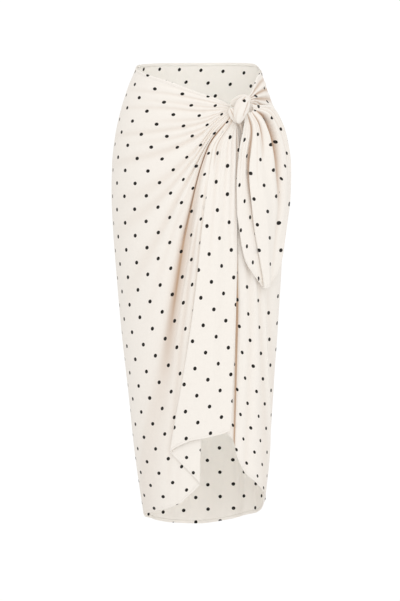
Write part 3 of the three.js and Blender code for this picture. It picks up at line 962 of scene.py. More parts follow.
@dataclass
class Panel:
    """A panel of cloth on a grid of points, with the layout of its print."""

    name: str
    node: str
    form: WornForm = field(default_factory=WornForm)
    points: np.ndarray | None = None
    prints: np.ndarray | None = None
    folds: np.ndarray | None = None
    layouts: np.ndarray | None = None
    choice: np.ndarray | None = None

    def follow(self, layouts: list[np.ndarray], choice: np.ndarray) -> None:
        """Lays the print out by several plans, one for each part of the panel.

        Args:
            layouts: Places in the print of every point, for each plan.
            choice: The number of the plan that each point follows.
        """
        self.layouts, self.choice = np.stack(layouts), choice
        self.prints = np.take_along_axis(self.layouts, choice[None, ..., None], axis=0)[0]

    def corner_prints(self, faces: np.ndarray) -> np.ndarray:
        """Places in the print of each face's corners, by the one plan that the face follows."""
        plan = self.choice[:-1, :-1].reshape(-1, 1)
        return self.layouts.reshape(len(self.layouts), -1, 2)[plan, faces]

    def build(self, finish: bpy.types.Material) -> bpy.types.Object:
        """Makes the thin shell of the panel and dresses it.

        Args:
            finish: The cloth's material.

        Returns:
            The piece.
        """
        long, wide = self.points.shape[:2]
        faces = grid_faces(wide, long)
        piece = make_mesh(self.name, self.points, faces, self.corner_prints(faces), self.folds)
        shell = piece.modifiers.new("thickness", "SOLIDIFY")
        shell.thickness = CLOTH * MM
        shell.offset = 0
        piece.data.materials.append(finish)
        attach(piece, "root")
        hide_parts(self.node)
        LOG.info("%s: %d points, %.3f square metres", self.name, len(piece.data.vertices), self.area())
        return piece

    def area(self) -> float:
        """The cloth's area in square metres."""
        across = np.diff(self.points[:-1], axis=1)
        along = np.diff(self.points[:, :-1], axis=0)
        return float(np.linalg.norm(np.cross(across, along), axis=-1).sum()) * MM * MM

    def squeezed(self, girth: np.ndarray) -> np.ndarray:
        """Places round the form, moved along each row as the folds take up cloth.

        Args:
            girth: Millimetres round the form of each point.

        Returns:
            The same, with the cloth's own length inside each fold.
        """
        step = np.linalg.norm(np.diff(self.points, axis=1), axis=-1)
        plain = np.abs(np.diff(girth, axis=1))
        rise = np.sqrt(np.maximum(step ** 2 - np.diff(self.points[..., 2], axis=1) ** 2, 0))
        extra = np.clip(rise - plain, 0, 1.5 * plain + 0.2)
        own = np.concatenate([np.zeros((len(girth), 1)), np.cumsum(extra, axis=1)], axis=1)
        kernel = np.hanning(2 * TREND + 3)[1:-1]
        kernel /= kernel.sum()
        padded = np.pad(own, ((0, 0), (TREND, TREND)), mode="reflect", reflect_type="odd")
        trend = np.stack([np.convolve(row, kernel, mode="valid") for row in padded])
        direction = np.sign(np.gradient(girth, axis=1))
        return girth + direction * (own - trend)


@dataclass
class Hem:
    """The narrow hem along one edge of a panel, turned twice and sewn with one row of stitches.

    The section has how far in from the edge each point lies and how far it stands out of the cloth.
    """

    panel: Panel
    edge: Edge
    section: tuple[tuple[float, float], ...] = (
        (-0.5, 0.0), (-0.1, 0.5), (1.2, 0.85), (3.0, 0.8), (4.0, 0.32), (5.2, 0.6), (6.4, 0.22),
        (6.4, -0.3), (3.4, -0.32), (1.2, -0.32), (0.0, -0.3),
    )
    stitch_line: float = 4.0
    columns: int = 26  # how much of the panel's grid a hem along its side or its end looks at
    rows: int = 9
    axis: tuple[float, float] = (3.0, 8.0)  # middle of the skirt, seen from above

    def strips(self) -> list[np.ndarray]:
        """Reads the cloth along the edge.

        Returns:
            Its points, print, normals and painted shade, each with its rows going inwards from the edge.
        """
        out = normals_of(self.panel.points)
        away = self.panel.points * np.array([1, 1, 0]) - np.array([*self.axis, 0.0])
        out = out * np.sign((out * away).sum())
        found = []
        for grid in (self.panel.points, self.panel.prints, out, self.panel.folds[..., None]):
            if self.edge is Edge.START:
                found.append(grid[:, :self.columns])
            elif self.edge is Edge.END:
                found.append(grid[:, ::-1][:, :self.columns])
            elif self.edge is Edge.HEAD:
                found.append(grid[:self.rows].transpose(1, 0, 2))
            else:
                found.append(grid[::-1][:self.rows].transpose(1, 0, 2))
        return found

    def read(self, strips: list[np.ndarray], inset: float) -> list[np.ndarray]:
        """Reads the strips along a line that runs a little inside the edge.

        Args:
            strips: The strips along the edge.
            inset: How far in from the edge the line runs, or outside it where it is negative.

        Returns:
            One row of values for each strip.
        """
        way = np.linalg.norm(np.diff(strips[0], axis=1), axis=-1)
        way = np.concatenate([np.zeros((len(way), 1)), np.cumsum(way, axis=1)], axis=1)
        leg = np.clip((way < inset).sum(axis=1) - 1, 0, way.shape[1] - 2)
        row = np.arange(len(way))
        part = (inset - way[row, leg]) / np.maximum(1e-6, way[row, leg + 1] - way[row, leg])
        part = np.clip(part, -3, 1)[:, None]
        return [strip[row, leg] * (1 - part) + strip[row, leg + 1] * part for strip in strips]

    def build(self, finish: bpy.types.Material) -> bpy.types.Object:
        """Makes the turned band.

        Args:
            finish: The cloth's material.

        Returns:
            The piece.
        """
        strips = self.strips()
        rings, prints, folds = [], [], []
        for inset, offset in self.section:
            # The hem takes over the panel's painted shade along its edge.
            place, layout, out, painted_tan_shade = self.read(strips, inset)
            out = out / np.maximum(1e-9, np.linalg.norm(out, axis=-1, keepdims=True))
            rings.append(place + out * offset)
            prints.append(layout)
            folds.append(painted_tan_shade[:, 0])
        points = np.stack(rings, 1)
        count, wide = points.shape[:2]
        faces = [tuple(range(wide)), tuple(range((count - 1) * wide, count * wide))[::-1]]
        for j in range(count - 1):
            for i in range(wide):
                a, b = j * wide + i, j * wide + (i + 1) % wide
                faces.append((a, b, b + wide, a + wide))
        name = f"{self.panel.node}_hem_{self.edge.value}"
        piece = make_mesh(name, points, faces, np.stack(prints, 1), np.stack(folds, 1))
        return self.dress(piece, finish)

    def build_stitches(self, thread: bpy.types.Material) -> bpy.types.Object:
        """Makes the row of stitches.

        Args:
            thread: The sewing thread's material.

        Returns:
            The piece.
        """
        place, _, out, _ = self.read(self.strips(), self.stitch_line)
        way = np.concatenate([[0], np.cumsum(np.linalg.norm(np.diff(place, axis=0), axis=1))])
        step = STITCH["length"] + STITCH["gap"]
        marks = np.arange(step, way[-1] - step, step)
        middle = np.stack([np.interp(marks, way, place[:, k]) for k in range(3)], -1)
        up = np.stack([np.interp(marks, way, out[:, k]) for k in range(3)], -1)
        up /= np.maximum(1e-9, np.linalg.norm(up, axis=1, keepdims=True))
        ahead = np.gradient(middle, axis=0)
        ahead /= np.maximum(1e-9, np.linalg.norm(ahead, axis=1, keepdims=True))
        side = np.cross(ahead, up)
        points, faces, sides = [], [], 5
        for spot, n, t, s in zip(middle + up * STITCH["thick"], up, ahead, side):
            base = len(points)
            for end in (-STITCH["straight"], STITCH["straight"]):
                for k in range(sides):
                    angle = 2 * math.pi * k / sides
                    across = s * math.cos(angle) + n * math.sin(angle)
                    points.append(spot + t * end * STITCH["length"] + across * STITCH["thick"] / 2)
            points.append(spot - t * STITCH["length"] / 2 - n * STITCH["dip"])
            points.append(spot + t * STITCH["length"] / 2 - n * STITCH["dip"])
            far = base + sides
            for k in range(sides):
                following = (k + 1) % sides
                faces.append((base + k, base + following, far + following, far + k))
                faces.append((far + sides, base + following, base + k))
                faces.append((far + sides + 1, far + k, far + following))
        piece = make_mesh(f"{self.panel.node}_stitches_{self.edge.value}", np.array(points), faces)
        return self.dress(piece, thread)

    @staticmethod
    def dress(piece: bpy.types.Object, finish: bpy.types.Material) -> bpy.types.Object:
        """Gives a piece its material and fixes it to the skirt.

        Args:
            piece: A hem or its stitches.
            finish: Its material.

        Returns:
            The same piece.
        """
        piece.data.materials.append(finish)
        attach(piece, "root")
        return piece


@dataclass
class GatheredPanel(Panel):
    """A panel that fans out from the knot, with creases, and a pleat where it has one."""

    rays: tuple[tuple, ...] = ()
    creases: tuple[Crease, ...] = ()
    gather: Gather = Gather(0, 0, 1, 0, 0)
    pleat: Pleat | None = None
    fine: int = 3
    rows: int = 160
    guides: list[tuple[np.ndarray, np.ndarray]] = field(default_factory=list)
    turn: np.ndarray | None = None
    height: np.ndarray | None = None
    at: np.ndarray | None = None
    share: np.ndarray | None = None

    def stations(self) -> np.ndarray:
        """Places of the columns across the fan."""
        found = []
        for ray, following in zip(self.rays[:-1], self.rays[1:]):
            count = ray[8] * self.fine
            found.extend(mix(ray[0], following[0], k / count) for k in range(count))
        return np.array(found + [self.rays[-1][0]])

    def column(self, number: int) -> tuple[np.ndarray, np.ndarray]:
        """Stations and values of one column of the rays' table."""
        return np.array([r[0] for r in self.rays], float), np.array([r[number] for r in self.rays], float)

    def lift_at(self, at: np.ndarray, share: np.ndarray) -> np.ndarray:
        """How far the fan stands off the form."""
        return mix(self.gather.out, smooth(*self.column(6), at), ease(share / LIFT_SETTLES))

    def fan(self, at: np.ndarray, share: np.ndarray) -> tuple[np.ndarray, np.ndarray, np.ndarray]:
        """The smooth fan without folds.

        Args:
            at: Places across the fan.
            share: Shares of the way along the rays.

        Returns:
            Angle round the waist, height and lift of each place.
        """
        stations = np.array([r[0] for r in self.rays], float)
        shares = np.array(GUIDE_SHARES)
        if not self.guides:
            self.lay_guides(stations, shares)
        turns = [smooth(stations, turned, at) for turned, _ in self.guides]
        heights = [smooth(stations, height, at) for _, height in self.guides]
        return (smooth(shares, np.stack(turns), share), smooth(shares, np.stack(heights), share),
                self.lift_at(at, share))

    def lay_guides(self, stations: np.ndarray, shares: np.ndarray) -> None:
        """Works out the lines across the fan that its rays are drawn through.

        Args:
            stations: Places of the rays across the fan.
            shares: Shares of the way at which the lines lie.
        """
        for k, guide in enumerate(shares):
            places = []
            for ray in self.rays:
                angle = math.radians(ray[1])
                start = (self.gather.x + self.gather.radius * math.cos(angle),
                         self.gather.z + self.gather.radius * math.sin(angle))
                places.append((start, *ray[2:6])[k])
            lifts = [float(self.lift_at(np.array(ray[0]), np.array(guide))) for ray in self.rays]
            held = [self.form.hold(x, z, lift) for (x, z), lift in zip(places, lifts)]
            self.guides.append((np.array([turn for turn, _ in held]), np.array([z for _, z in held])))

    def relief(self, at: np.ndarray, share: np.ndarray, spread: np.ndarray) -> tuple[np.ndarray, np.ndarray]:
        """The gathered cloth's ridges and creases.

        Args:
            at: Places across the fan.
            share: Shares of the way along the rays.
            spread: Millimetres that the whole fan would be wide as it lies there.

        Returns:
            How far out each place stands, and how much shade is painted into the colour there.
        """
        fade = 1 - ease((share - RIDGE["fade"]) / RIDGE["over"])
        ridge = smooth(*self.column(7), at) * ease(share / RIDGE["rise"]) * fade
        found = [crease.relief(at, share, spread) for crease in self.creases]
        # Painted shade: the creases' tan tints, summed and held to 1.
        painted_tan_shade = np.clip(sum(painted_shade for _, painted_shade in found), 0, 1)
        return ridge * RIDGE["height"] + sum(relief for relief, _ in found), painted_tan_shade

    def lay(self) -> None:
        """Works out the panel's points, and where they lie round the form."""
        stations = self.stations()
        at, share = np.meshgrid(stations, (np.arange(self.rows + 1) / self.rows) ** ROW_GROWTH)
        radius = mix(PLEAT_RADIUS["knot"], PLEAT_RADIUS["hem"], ease(share * 2))
        side, up, across = np.zeros_like(at), np.zeros_like(at), at.copy()
        if self.pleat:
            pleat = self.pleat
            grown = share ** pleat.opening * (1 - pleat.close * ease((share - 0.5) / 0.5))
            inside = (at > pleat.start) & (at < pleat.end)
            part = np.clip((at - pleat.start) / (pleat.end - pleat.start), 0, 1)
            moved, raised, used = pleat.place(part, grown, radius)
            side = np.where(inside, moved, 0)
            across = np.where(inside, mix(pleat.start, pleat.end, used), at)
            start = mix(pleat.end, pleat.clear, ease(share * 2))
            beyond = 4 * radius * (1 - ease((at - start) / pleat.settle))
            up = np.where(inside, raised, np.where(at >= pleat.end, beyond, 0))
        turn, z, lift = self.fan(across, share)
        beside = [self.fan(np.clip(across + step, 0, 1), share) for step in (-NUDGE, NUDGE)]
        before, after = [self.form.point(turned, height, 0 * z) for turned, height, _ in beside]
        spread = np.linalg.norm(after - before, axis=-1) / (2 * NUDGE)
        # self.folds holds the painted shade of the creases.
        relief, self.folds = self.relief(at, share, spread)
        lift = np.maximum(self.gather.least, lift + relief)
        turn = turn + side / self.form.reach(turn, z)
        self.points = self.form.point(turn, z, lift + up)
        self.turn, self.height, self.at, self.share = turn, z, at, share
        self.lay_print()

    def lay_print(self) -> None:
        """Lays the print out over the panel."""
        raise NotImplementedError


@dataclass
class OverWrap(GatheredPanel):
    """The panel that wraps over the front: the left fan, the pleat, and the layer that hangs on top."""

    name: str = "over_wrap_cloth"
    node: str = "over_wrap"
    rays: tuple[tuple, ...] = OVER_RAYS
    creases: tuple[Crease, ...] = OVER_CREASES
    gather: Gather = Gather(84, -90, 22, 6, 0)
    pleat: Pleat | None = OVER_PLEAT
    fine: int = 3
    rows: int = 156
    layer_ends: tuple[float, float] = (0.2, 0.68)  # shares of the pleat where its first two layers end

    def lay_print(self) -> None:
        """Lays out the print: one plan for each of the three layers of the pleat."""
        girth = self.squeezed(self.form.girth(self.turn, self.height, Side.FRONT))
        part = (self.at - self.pleat.start) / (self.pleat.end - self.pleat.start)
        seen = self.form.seen_height(self.turn, self.height)
        plans = [plan.rows(girth, seen) for plan in (PLAN_LEFT, PLAN_MIDDLE, PLAN_TOP)]
        first, second = self.layer_ends
        self.follow(plans, np.where(part < first, 0, np.where(part < second, 1, 2)))


@dataclass
class UnderWrap(GatheredPanel):
    """The panel on the right that the other one laps over."""

    name: str = "under_wrap_cloth"
    node: str = "under_wrap"
    rays: tuple[tuple, ...] = UNDER_RAYS
    creases: tuple[Crease, ...] = UNDER_CREASES
    gather: Gather = Gather(92, -80, 11, 1.6, 0)
    fine: int = 5
    rows: int = 150
    hip_line: float = -170.0  # above it the print runs as it does at the hip

    def lay_print(self) -> None:
        """Lays out the print."""
        girth = self.squeezed(self.form.girth(self.turn, self.height, Side.FRONT))
        seen = self.form.seen_height(self.turn, self.height)
        plans = [plan.rows(girth, seen) for plan in (PLAN_UNDER, PLAN_HIP)]
        self.follow(plans, np.where(self.height > self.hip_line, 1, 0))


@dataclass
class TieTail(GatheredPanel):
    """The wide corner of cloth that falls from the knot."""

    name: str = "tie_tail_cloth"
    node: str = "tie_tail"
    rays: tuple[tuple, ...] = TAIL_RAYS
    creases: tuple[Crease, ...] = TAIL_CREASES
    gather: Gather = Gather(101, -88, 9, 18.5, 9)
    pleat: Pleat | None = TAIL_PLEAT
    fine: int = 6
    rows: int = 150
    side_valley: tuple[float, float, float] = (0.885, 0.16, 0.55)  # place, drift and reach
    strip_end: float = 0.45  # share of the pleat where its lower layer ends

    def lay_print(self) -> None:
        """Lays out the print."""
        girth = self.squeezed(self.form.girth(self.turn, self.height, Side.FRONT))
        valley, drift, reach = self.side_valley
        beyond = (self.at > valley - drift * self.share) & (self.share < reach)
        strip = self.at < mix(self.pleat.start, self.pleat.end, self.strip_end)
        seen = self.form.seen_height(self.turn, self.height)
        plans = [plan.rows(girth, seen) for plan in (PLAN_TAIL, PLAN_TAIL_SIDE, PLAN_TAIL_STRIP)]
        self.follow(plans, np.where(strip, 2, np.where(beyond, 1, 0)))


@dataclass(frozen=True)
class SoftFold:
    """A soft fold down the back: where, half its width, how far out at the hem, and how far up it reaches."""

    turn: float
    width: float
    out: float
    top: float


@dataclass(frozen=True)
class Pull:
    """A shallow crease pulled round a hip.

    It starts at a seam, at the height z, falls by so much for each degree, and has half a width, a depth and
    the degrees that it reaches.
    """

    seam: float
    z: float
    fall: float
    width: float
    depth: float
    reach: float

    def relief(self, degrees: np.ndarray, z: np.ndarray) -> np.ndarray:
        """How far the cloth stands out, or is pulled in where it is negative.

        Args:
            degrees: Places round the waist.
            z: Heights.

        Returns:
            The relief in millimetres, a valley between two soft shoulders.
        """
        away = np.abs(degrees - self.seam)
        off = (z - self.z + self.fall * away) / self.width
        fade = (1 - ease(away / self.reach)) * ease(away / 4)
        valley, shoulders = crease_shape(off)
        return (0.5 * shoulders - valley) * self.depth * fade


@dataclass
class BackPanel(Panel):
    """The back, from the right seam to the left one."""

    name: str = "back_panel_cloth"
    node: str = "back_panel"
    columns: int = 240
    rows: int = 110
    print_middle: float = 253.0  # girth at the middle of the back
    print_scale: float = 0.987  # the back is seen from a little farther off than the front
    drift_start: float = -350.0  # the print drifts sideways above this height
    drift_span: float = 250.0  # and does so in full this much higher
    drift: tuple[float, float, float] = (4.0, 0.023, 100.0)  # how far, how much more by girth, from where
    folds_down: tuple[SoftFold, ...] = (
        SoftFold(216, 12, 5, -480),
        SoftFold(240, 12, 7, -300),
        SoftFold(268, 15, 4, -560),
        SoftFold(294, 12, 6, -330),
        SoftFold(322, 14, 5, -420),
        SoftFold(343, 9, 4, -620),
    )
    pulls: tuple[Pull, ...] = (
        Pull(360, -52, 0.5, 7, 1.6, 60),
        Pull(360, -92, 0.8, 8, 2.2, 85),
        Pull(360, -140, 1.3, 9, 2.4, 70),
        Pull(360, -202, 1.8, 11, 2.8, 90),
        Pull(360, -296, 2.4, 14, 3.0, 75),
        Pull(192, -40, 0.6, 7, 1.8, 60),
        Pull(192, -84, 1.0, 8, 2.4, 80),
        Pull(192, -150, 1.6, 10, 2.6, 65),
        Pull(192, -240, 2.2, 13, 3.0, 80),
    )

    def lay(self) -> None:
        """Works out the panel's points and the layout of its print."""
        gap = SEAM_GAP / 2 / float(self.form.read(np.array(-400.0), 4))
        start, end = math.radians(RIGHT_SEAM) + gap, math.radians(360 + LEFT_SEAM) - gap
        columns, rows = np.linspace(0, 1, self.columns + 1), np.linspace(0, 1, self.rows + 1)
        across, share = np.meshgrid(columns, rows ** ROW_GROWTH)
        turn = mix(start, end, across)
        degrees = np.degrees(turn)
        top = smooth(BACK_EDGES[:, 0], BACK_EDGES[:, 1], degrees)
        hem = smooth(BACK_EDGES[:, 0], BACK_EDGES[:, 2], degrees)
        z = mix(top, hem, share)
        lift = np.zeros_like(z)
        for fold in self.folds_down:
            near = np.maximum(0, 1 - ((degrees - fold.turn) / fold.width) ** 2) ** 2
            lift += fold.out * near * ease((fold.top - z) / (fold.top - hem))
        lift += sum(pull.relief(degrees, z) for pull in self.pulls)
        self.points = self.form.point(turn, z, lift)
        self.folds = np.zeros_like(z)
        middle = self.print_middle
        girth = middle + (self.form.girth(turn, z, Side.BACK) - middle) * self.print_scale
        least, more, base = self.drift
        girth += ease((z - self.drift_start) / self.drift_span) * (least + more * (girth - base))
        self.follow([PLAN_BACK.rows(girth, self.form.seen_height(turn, z))], np.zeros(z.shape, int))


@dataclass
class Roll:
    """A roll of bunched cloth of the knot, along a line of points.

    Each row of the path has x, z, how far out the middle is, and the roll's width and height there. Each
    groove has its place round the roll in degrees, half its width, its depth as a share of the roll, where it
    starts and ends along it, and how far round it drifts. Its painted tan shade is how much tan shade is
    painted all over the roll's colour, and its valley painted shade is how much more is painted in a valley.
    """

    name: str
    node: str
    path: tuple[tuple[float, ...], ...]
    folds: int
    depth: float = 0.09
    twist: float = 0.0
    flat: float = 2.0
    dot: tuple[float, float] = (0.3, 0.4)
    grooves: tuple[tuple[float, ...], ...] = ()
    # Painted shade: tan over the whole roll, and more in its valleys.
    painted_tan_shade: float = 0.0
    valley_painted_shade: float = 0.36
    around: int = 96
    along: int = 110
    form: WornForm = field(default_factory=WornForm)

    def stations(self) -> np.ndarray:
        """Shares of the way at which the rings stand, closer at the ends."""
        return (1 - np.cos(np.pi * np.arange(self.along + 1) / self.along)) / 2

    def line(self) -> np.ndarray:
        """The middle line, from a smooth curve through the path."""
        places = np.array([
            self.form.form_point(self.form.turn_of(x, z, lift), z, lift)
            for x, z, lift, _, _ in self.path
        ])
        knots = np.linspace(0, 1, len(places))
        slopes = np.gradient(places, knots, axis=0)
        share = self.stations()
        leg = np.clip(np.searchsorted(knots, share) - 1, 0, len(knots) - 2)
        span = (knots[leg + 1] - knots[leg])[:, None]
        t = (share[:, None] - knots[leg][:, None]) / span
        return ((1 + 2 * t) * (1 - t) ** 2 * places[leg] + t * (1 - t) ** 2 * span * slopes[leg]
                + t * t * (3 - 2 * t) * places[leg + 1] + t * t * (t - 1) * span * slopes[leg + 1])

    def axes(self, line: np.ndarray) -> tuple[np.ndarray, np.ndarray]:
        """Directions across the roll, in the plane of the form and out of it.

        Args:
            line: The middle line.

        Returns:
            The direction sideways and the direction outwards at each of its points.
        """
        ahead = np.gradient(line, axis=0)
        ahead /= np.linalg.norm(ahead, axis=1, keepdims=True)
        outs = []
        for place in line:
            turn = np.array(self.form.turn_of(place[0], place[2], 0))
            z = np.array(place[2])
            outs.append(self.form.point(turn, z, np.array(1.0)) - self.form.point(turn, z, np.array(0.0)))
        side = np.cross(ahead, np.array(outs))
        side /= np.linalg.norm(side, axis=1, keepdims=True)
        return side, np.cross(side, ahead)

    def build(self, finish: bpy.types.Material) -> bpy.types.Object:
        """Makes the closed roll and dresses it.

        Args:
            finish: The cloth's material.

        Returns:
            The piece.
        """
        line, share = self.line(), self.stations()
        side, up = self.axes(line)
        knots = np.linspace(0, 1, len(self.path))
        width = smooth(knots, np.array([row[3] for row in self.path], float), share)[:, None]
        height = smooth(knots, np.array([row[4] for row in self.path], float), share)[:, None]
        angle = 2 * np.pi * np.arange(self.around) / self.around
        whole = np.sqrt(1 - np.abs(2 * mix(0.02, 0.98, share) - 1) ** 3)[:, None]
        phase = angle[None] + self.twist * share[:, None] + 0.5 * np.sin(2 * angle[None] + 5 * share[:, None])
        valley = (1 - np.abs(np.cos(self.folds * phase / 2))) ** 2.2
        valley = valley * (0.62 + 0.38 * np.sin(2.3 * phase + 1.1 + 4 * share[:, None]))
        size = whole * (1.04 - self.depth * 2.4 * valley)
        for middle, half, deep, begin, stop, drift in self.grooves:
            off = (np.degrees(angle)[None] - middle - drift * share[:, None]) / half
            along = ease((share - begin) / 0.1) * ease((stop - share) / 0.1)
            cut = np.exp(-2.4 * off ** 2) * along[:, None]
            size = size - whole * deep * cut
            # A groove also gets painted shade through the valley value.
            valley = np.maximum(valley * (1 - cut), 1.7 * cut)
        across = np.sign(np.cos(angle)) * np.abs(np.cos(angle)) ** (2 / self.flat)
        outward = np.sign(np.sin(angle)) * np.abs(np.sin(angle)) ** (2 / self.flat)
        points = (line[:, None] + side[:, None] * (width / 2 * size * across)[..., None]
                  + up[:, None] * (height / 2 * size * outward)[..., None])
        piece = make_mesh(self.name, *self.closed(points, line, valley * whole))
        piece.data.materials.append(finish)
        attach(piece, "root")
        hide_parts(self.node)
        LOG.info("%s: %d points", self.name, len(piece.data.vertices))
        return piece

    def closed(
        self,
        points: np.ndarray,
        line: np.ndarray,
        valley: np.ndarray,
    ) -> tuple[np.ndarray, list, np.ndarray, np.ndarray]:
        """Joins the rings into a closed body.

        Args:
            points: The rings' points.
            line: The middle line.
            valley: How deep in a fold each point lies, which sets how much shade is painted there.

        Returns:
            Points, faces, places in the print and painted shade.
        """
        count = len(points) * self.around
        faces = []
        for j in range(self.along):
            for i in range(self.around):
                a, b = j * self.around + i, j * self.around + (i + 1) % self.around
                faces.append((a, b, b + self.around, a + self.around))
        for ring, cap in ((0, count), (self.along, count + 1)):
            for i in range(self.around):
                a, b = ring * self.around + i, ring * self.around + (i + 1) % self.around
                faces.append((cap, b, a) if ring == 0 else (cap, a, b))
        length = np.concatenate([[0], np.cumsum(np.linalg.norm(np.diff(line, axis=0), axis=1))])
        hoop = np.linalg.norm(np.roll(points, -1, axis=1) - points, axis=-1)
        way = np.cumsum(hoop, axis=1) - hoop
        way = way - way[:, self.around // 4][:, None]
        prints = np.stack(np.broadcast_arrays(
            (length[:, None] + way) * DIAGONAL / PRINT_PITCH + self.dot[0],
            (way - length[:, None]) * DIAGONAL / PRINT_PITCH + self.dot[1]), -1)
        prints = np.concatenate([prints.reshape(-1, 2), prints[:1, 0], prints[-1:, 0]])
        # Painted shade: tan over the whole roll, more in its valleys and grooves.
        shade = np.clip(self.painted_tan_shade + self.valley_painted_shade * valley, 0, 1)
        shade = np.concatenate([shade.ravel(), [self.painted_tan_shade] * 2])
        return np.concatenate([points.reshape(-1, 3), line[:1], line[-1:]]), faces, prints, shade


@dataclass
class Knot:
    """The two gathered corners, tied once: a strap behind, a lobe, a standing loop and a twisted end."""

    def parts(self) -> list[Roll]:
        """The rolls of the knot."""
        strap = (
            (65, -84, 3.8, 14, 4),
            (75, -78, 4.8, 18, 6),
            (89, -72.5, 4.9, 21, 6),
            (105, -73, 4.9, 20, 6),
        )
        lobe = (
            (66, -90, 15.5, 13, 9.6),
            (69, -97, 16.8, 17, 11.4),
            (73, -106, 16.4, 16, 11.6),
            (78, -118, 14.4, 12, 9),
        )
        loop = (
            (99, -69, 18, 21, 14),
            (96.5, -78, 24.6, 28, 17),
            (91.5, -88, 28.4, 31, 17),
            (87, -100, 29.8, 27, 16),
            (84.5, -113, 27.4, 20, 13),
            (83.5, -121, 25.4, 14, 11),
        )
        tip = (
            (83.5, -118, 11, 8, 3),
            (88.5, -131, 8, 8, 3),
            (90.5, -142, 6, 8, 2),
            (88, -160, 4.6, 10, 2),
            (84, -185, 4.2, 11, 2),
            (82, -214, 4.1, 11, 2),
        )
        return [
            Roll("knot_strap_cloth", "knot_strap", strap, 5, 0.05, flat=2.6, dot=(0.02, 0.35)),
            Roll("knot_lobe_cloth", "knot_lobe", lobe, 3, 0.05, 0.8, dot=(0.4, 0.5),
                 grooves=((62, 12, 0.22, 0.05, 1.0, 20), (112, 12, 0.2, 0.0, 0.9, 20))),
            Roll("knot_loop_cloth", "knot_loop", loop, 3, 0.03, 1.2, dot=(0.72, 0.53),
                 grooves=((96, 9, 0.26, 0.12, 0.74, 40), (52, 10, 0.16, 0.02, 0.36, -20))),
            # The twisted end gets tan shade painted all over it.
            Roll("knot_tip_cloth", "knot_tip", tip, 3, 0.08, 5.0, dot=(0.5, 0.5), painted_tan_shade=0.3),
        ]

    def build(self, finish: bpy.types.Material) -> list[bpy.types.Object]:
        """Makes the knot's pieces."""
        return [part.build(finish) for part in self.parts()]


@dataclass(frozen=True)
class Lamp:
    """A soft lamp: where it stands, what it points at, its width and height, its power and its colour."""

    place: tuple[float, float, float]
    aim: tuple[float, float, float]
    size: tuple[float, float]
    power: float
    colour: tuple[float, float, float] = (1.0, 1.0, 1.0)


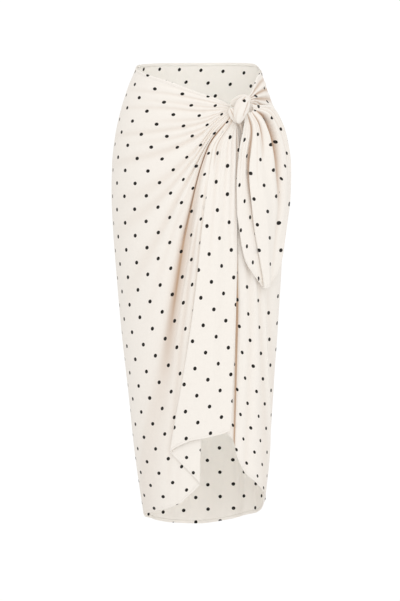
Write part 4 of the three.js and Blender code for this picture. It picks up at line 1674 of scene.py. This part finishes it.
@dataclass
class Studio:
    """A white studio: pale floor, soft even light, and a camera level with the middle of the skirt."""

    distance: float = 10.0
    middle: tuple[float, float, float] = (0.003, -0.05, -0.473)
    frame_height: float = 1.202
    sensor: float = 36.0
    floor: float = -1.3
    floor_radius: float = 2.9
    dome_radius: float = 30.0
    sky: tuple[float, float, float] = (1.0, 0.985, 0.965)
    sky_strength: float = 0.89
    lamps: dict[LampPlace, Lamp] = field(default_factory=lambda: {
        LampPlace.KEY: Lamp((1.6, -4.6, 1.4), (0, 0, -0.4), (1.6, 1.6), 8.0),
        LampPlace.FILL: Lamp((2.4, -3.6, 0.2), (0, 0, -0.4), (2.2, 2.2), 4.0),
        LampPlace.TOP: Lamp((0.1, -1.9, 1.9), (0, 0, -0.1), (1.0, 1.0), 8.0),
        LampPlace.LOW: Lamp((0.3, -2.4, -1.15), (0, 0, -0.85), (0.8, 0.8), 3.5),
        LampPlace.INSIDE_TOP: Lamp((-0.01, -0.052, -0.14), (0, 0.09, -0.06), (0.17, 0.05), 0.09, COOL),
        LampPlace.INSIDE_LOW: Lamp((0.02, -0.03, -0.66), (0.02, 0.1, -0.83), (0.1, 0.06), 0.075, COOL),
    })

    def build(self) -> None:
        """Makes the floor, the lights and the camera."""
        self.build_floor()
        self.build_backdrop()
        self.build_lights()
        self.build_camera()

    def build_floor(self) -> None:
        """Makes a round pale floor."""
        sides, reach = 96, self.floor_radius / MM
        angles = np.linspace(0, 2 * np.pi, sides + 1)[:-1]
        level = np.full(sides, self.floor / MM)
        rim = np.stack([reach * np.cos(angles), reach * np.sin(angles), level], -1)
        piece = make_mesh("studio_floor", rim, [tuple(range(sides))])
        piece.data.materials.append(Paper().build())

    def build_lights(self) -> None:
        """Makes the white surroundings and the soft lights."""
        world = bpy.data.worlds.new("studio")
        world.use_nodes = True
        background = world.node_tree.nodes["Background"]
        background.inputs["Color"].default_value = (*self.sky, 1.0)
        background.inputs["Strength"].default_value = self.sky_strength
        bpy.context.scene.world = world
        for place, lamp in self.lamps.items():
            light = bpy.data.lights.new(f"light_{place.value}", "AREA")
            light.shape = "RECTANGLE"
            light.size, light.size_y = lamp.size
            light.energy = lamp.power
            light.color = lamp.colour
            holder = bpy.data.objects.new(light.name, light)
            holder.location = lamp.place
            aim = Vector(lamp.aim) - Vector(lamp.place)
            holder.rotation_euler = aim.to_track_quat("-Z", "Y").to_euler()
            holder.visible_camera = False
            bpy.context.collection.objects.link(holder)

    def build_backdrop(self) -> None:
        """Makes a white dome all round, which is seen but lights nothing."""
        wide, long = 65, 33
        turns, tilts = np.meshgrid(np.linspace(0, 2 * np.pi, wide), np.linspace(-1.5, 1.5, long))
        level = np.cos(tilts)
        ball = np.stack([level * np.cos(turns), level * np.sin(turns), np.sin(tilts)], -1)
        points = self.dome_radius / MM * ball
        dome = make_mesh("studio_dome", points, grid_faces(wide, long))
        dome.data.materials.append(Glow().build())
        dome.visible_diffuse = False
        dome.visible_glossy = False
        dome.visible_transmission = False
        dome.visible_volume_scatter = False
        dome.visible_shadow = False

    def build_camera(self) -> None:
        """Makes the camera, with a long lens as in a catalogue picture."""
        data = bpy.data.cameras.new("camera")
        data.sensor_fit = "VERTICAL"
        data.sensor_height = self.sensor
        data.lens = self.sensor * self.distance / self.frame_height
        data.clip_end = 100
        camera = bpy.data.objects.new("camera", data)
        x, y, z = self.middle
        camera.location = (x, y - self.distance, z)
        camera.rotation_euler = (math.radians(90), 0, 0)
        bpy.context.collection.objects.link(camera)
        scene = bpy.context.scene
        scene.camera = camera
        scene.view_settings.view_transform = "Standard"
        scene.view_settings.look = "None"
        scene.cycles.max_bounces = 10
        scene.cycles.diffuse_bounces = 8


def main() -> None:
    """Builds the skirt piece by piece and reports each one."""
    logging.basicConfig(level=logging.INFO, format="%(name)s %(message)s")
    Studio().build()
    cloth = PrintedCloth().build()
    thread = SewingThread().build()
    hemmed = {
        "back_panel": (Edge.HEAD, Edge.FOOT),
        "under_wrap": (Edge.START, Edge.FOOT),
        "over_wrap": (Edge.START, Edge.END, Edge.FOOT),
        "tie_tail": (Edge.START, Edge.END, Edge.FOOT),
    }
    hems: dict[str, list[bpy.types.Object]] = {}
    for panel in (BackPanel(), UnderWrap(), OverWrap(), TieTail()):
        panel.lay()
        panel.build(cloth)
        hems[panel.node] = []
        for edge in hemmed[panel.node]:
            hem = Hem(panel, edge)
            hems[panel.node] += [hem.build(cloth), hem.build_stitches(thread)]
        LOG.info("%s: %d hem pieces", panel.node, len(hems[panel.node]))
    knot = Knot().build(cloth)


if __name__ == "__main__":
    main()
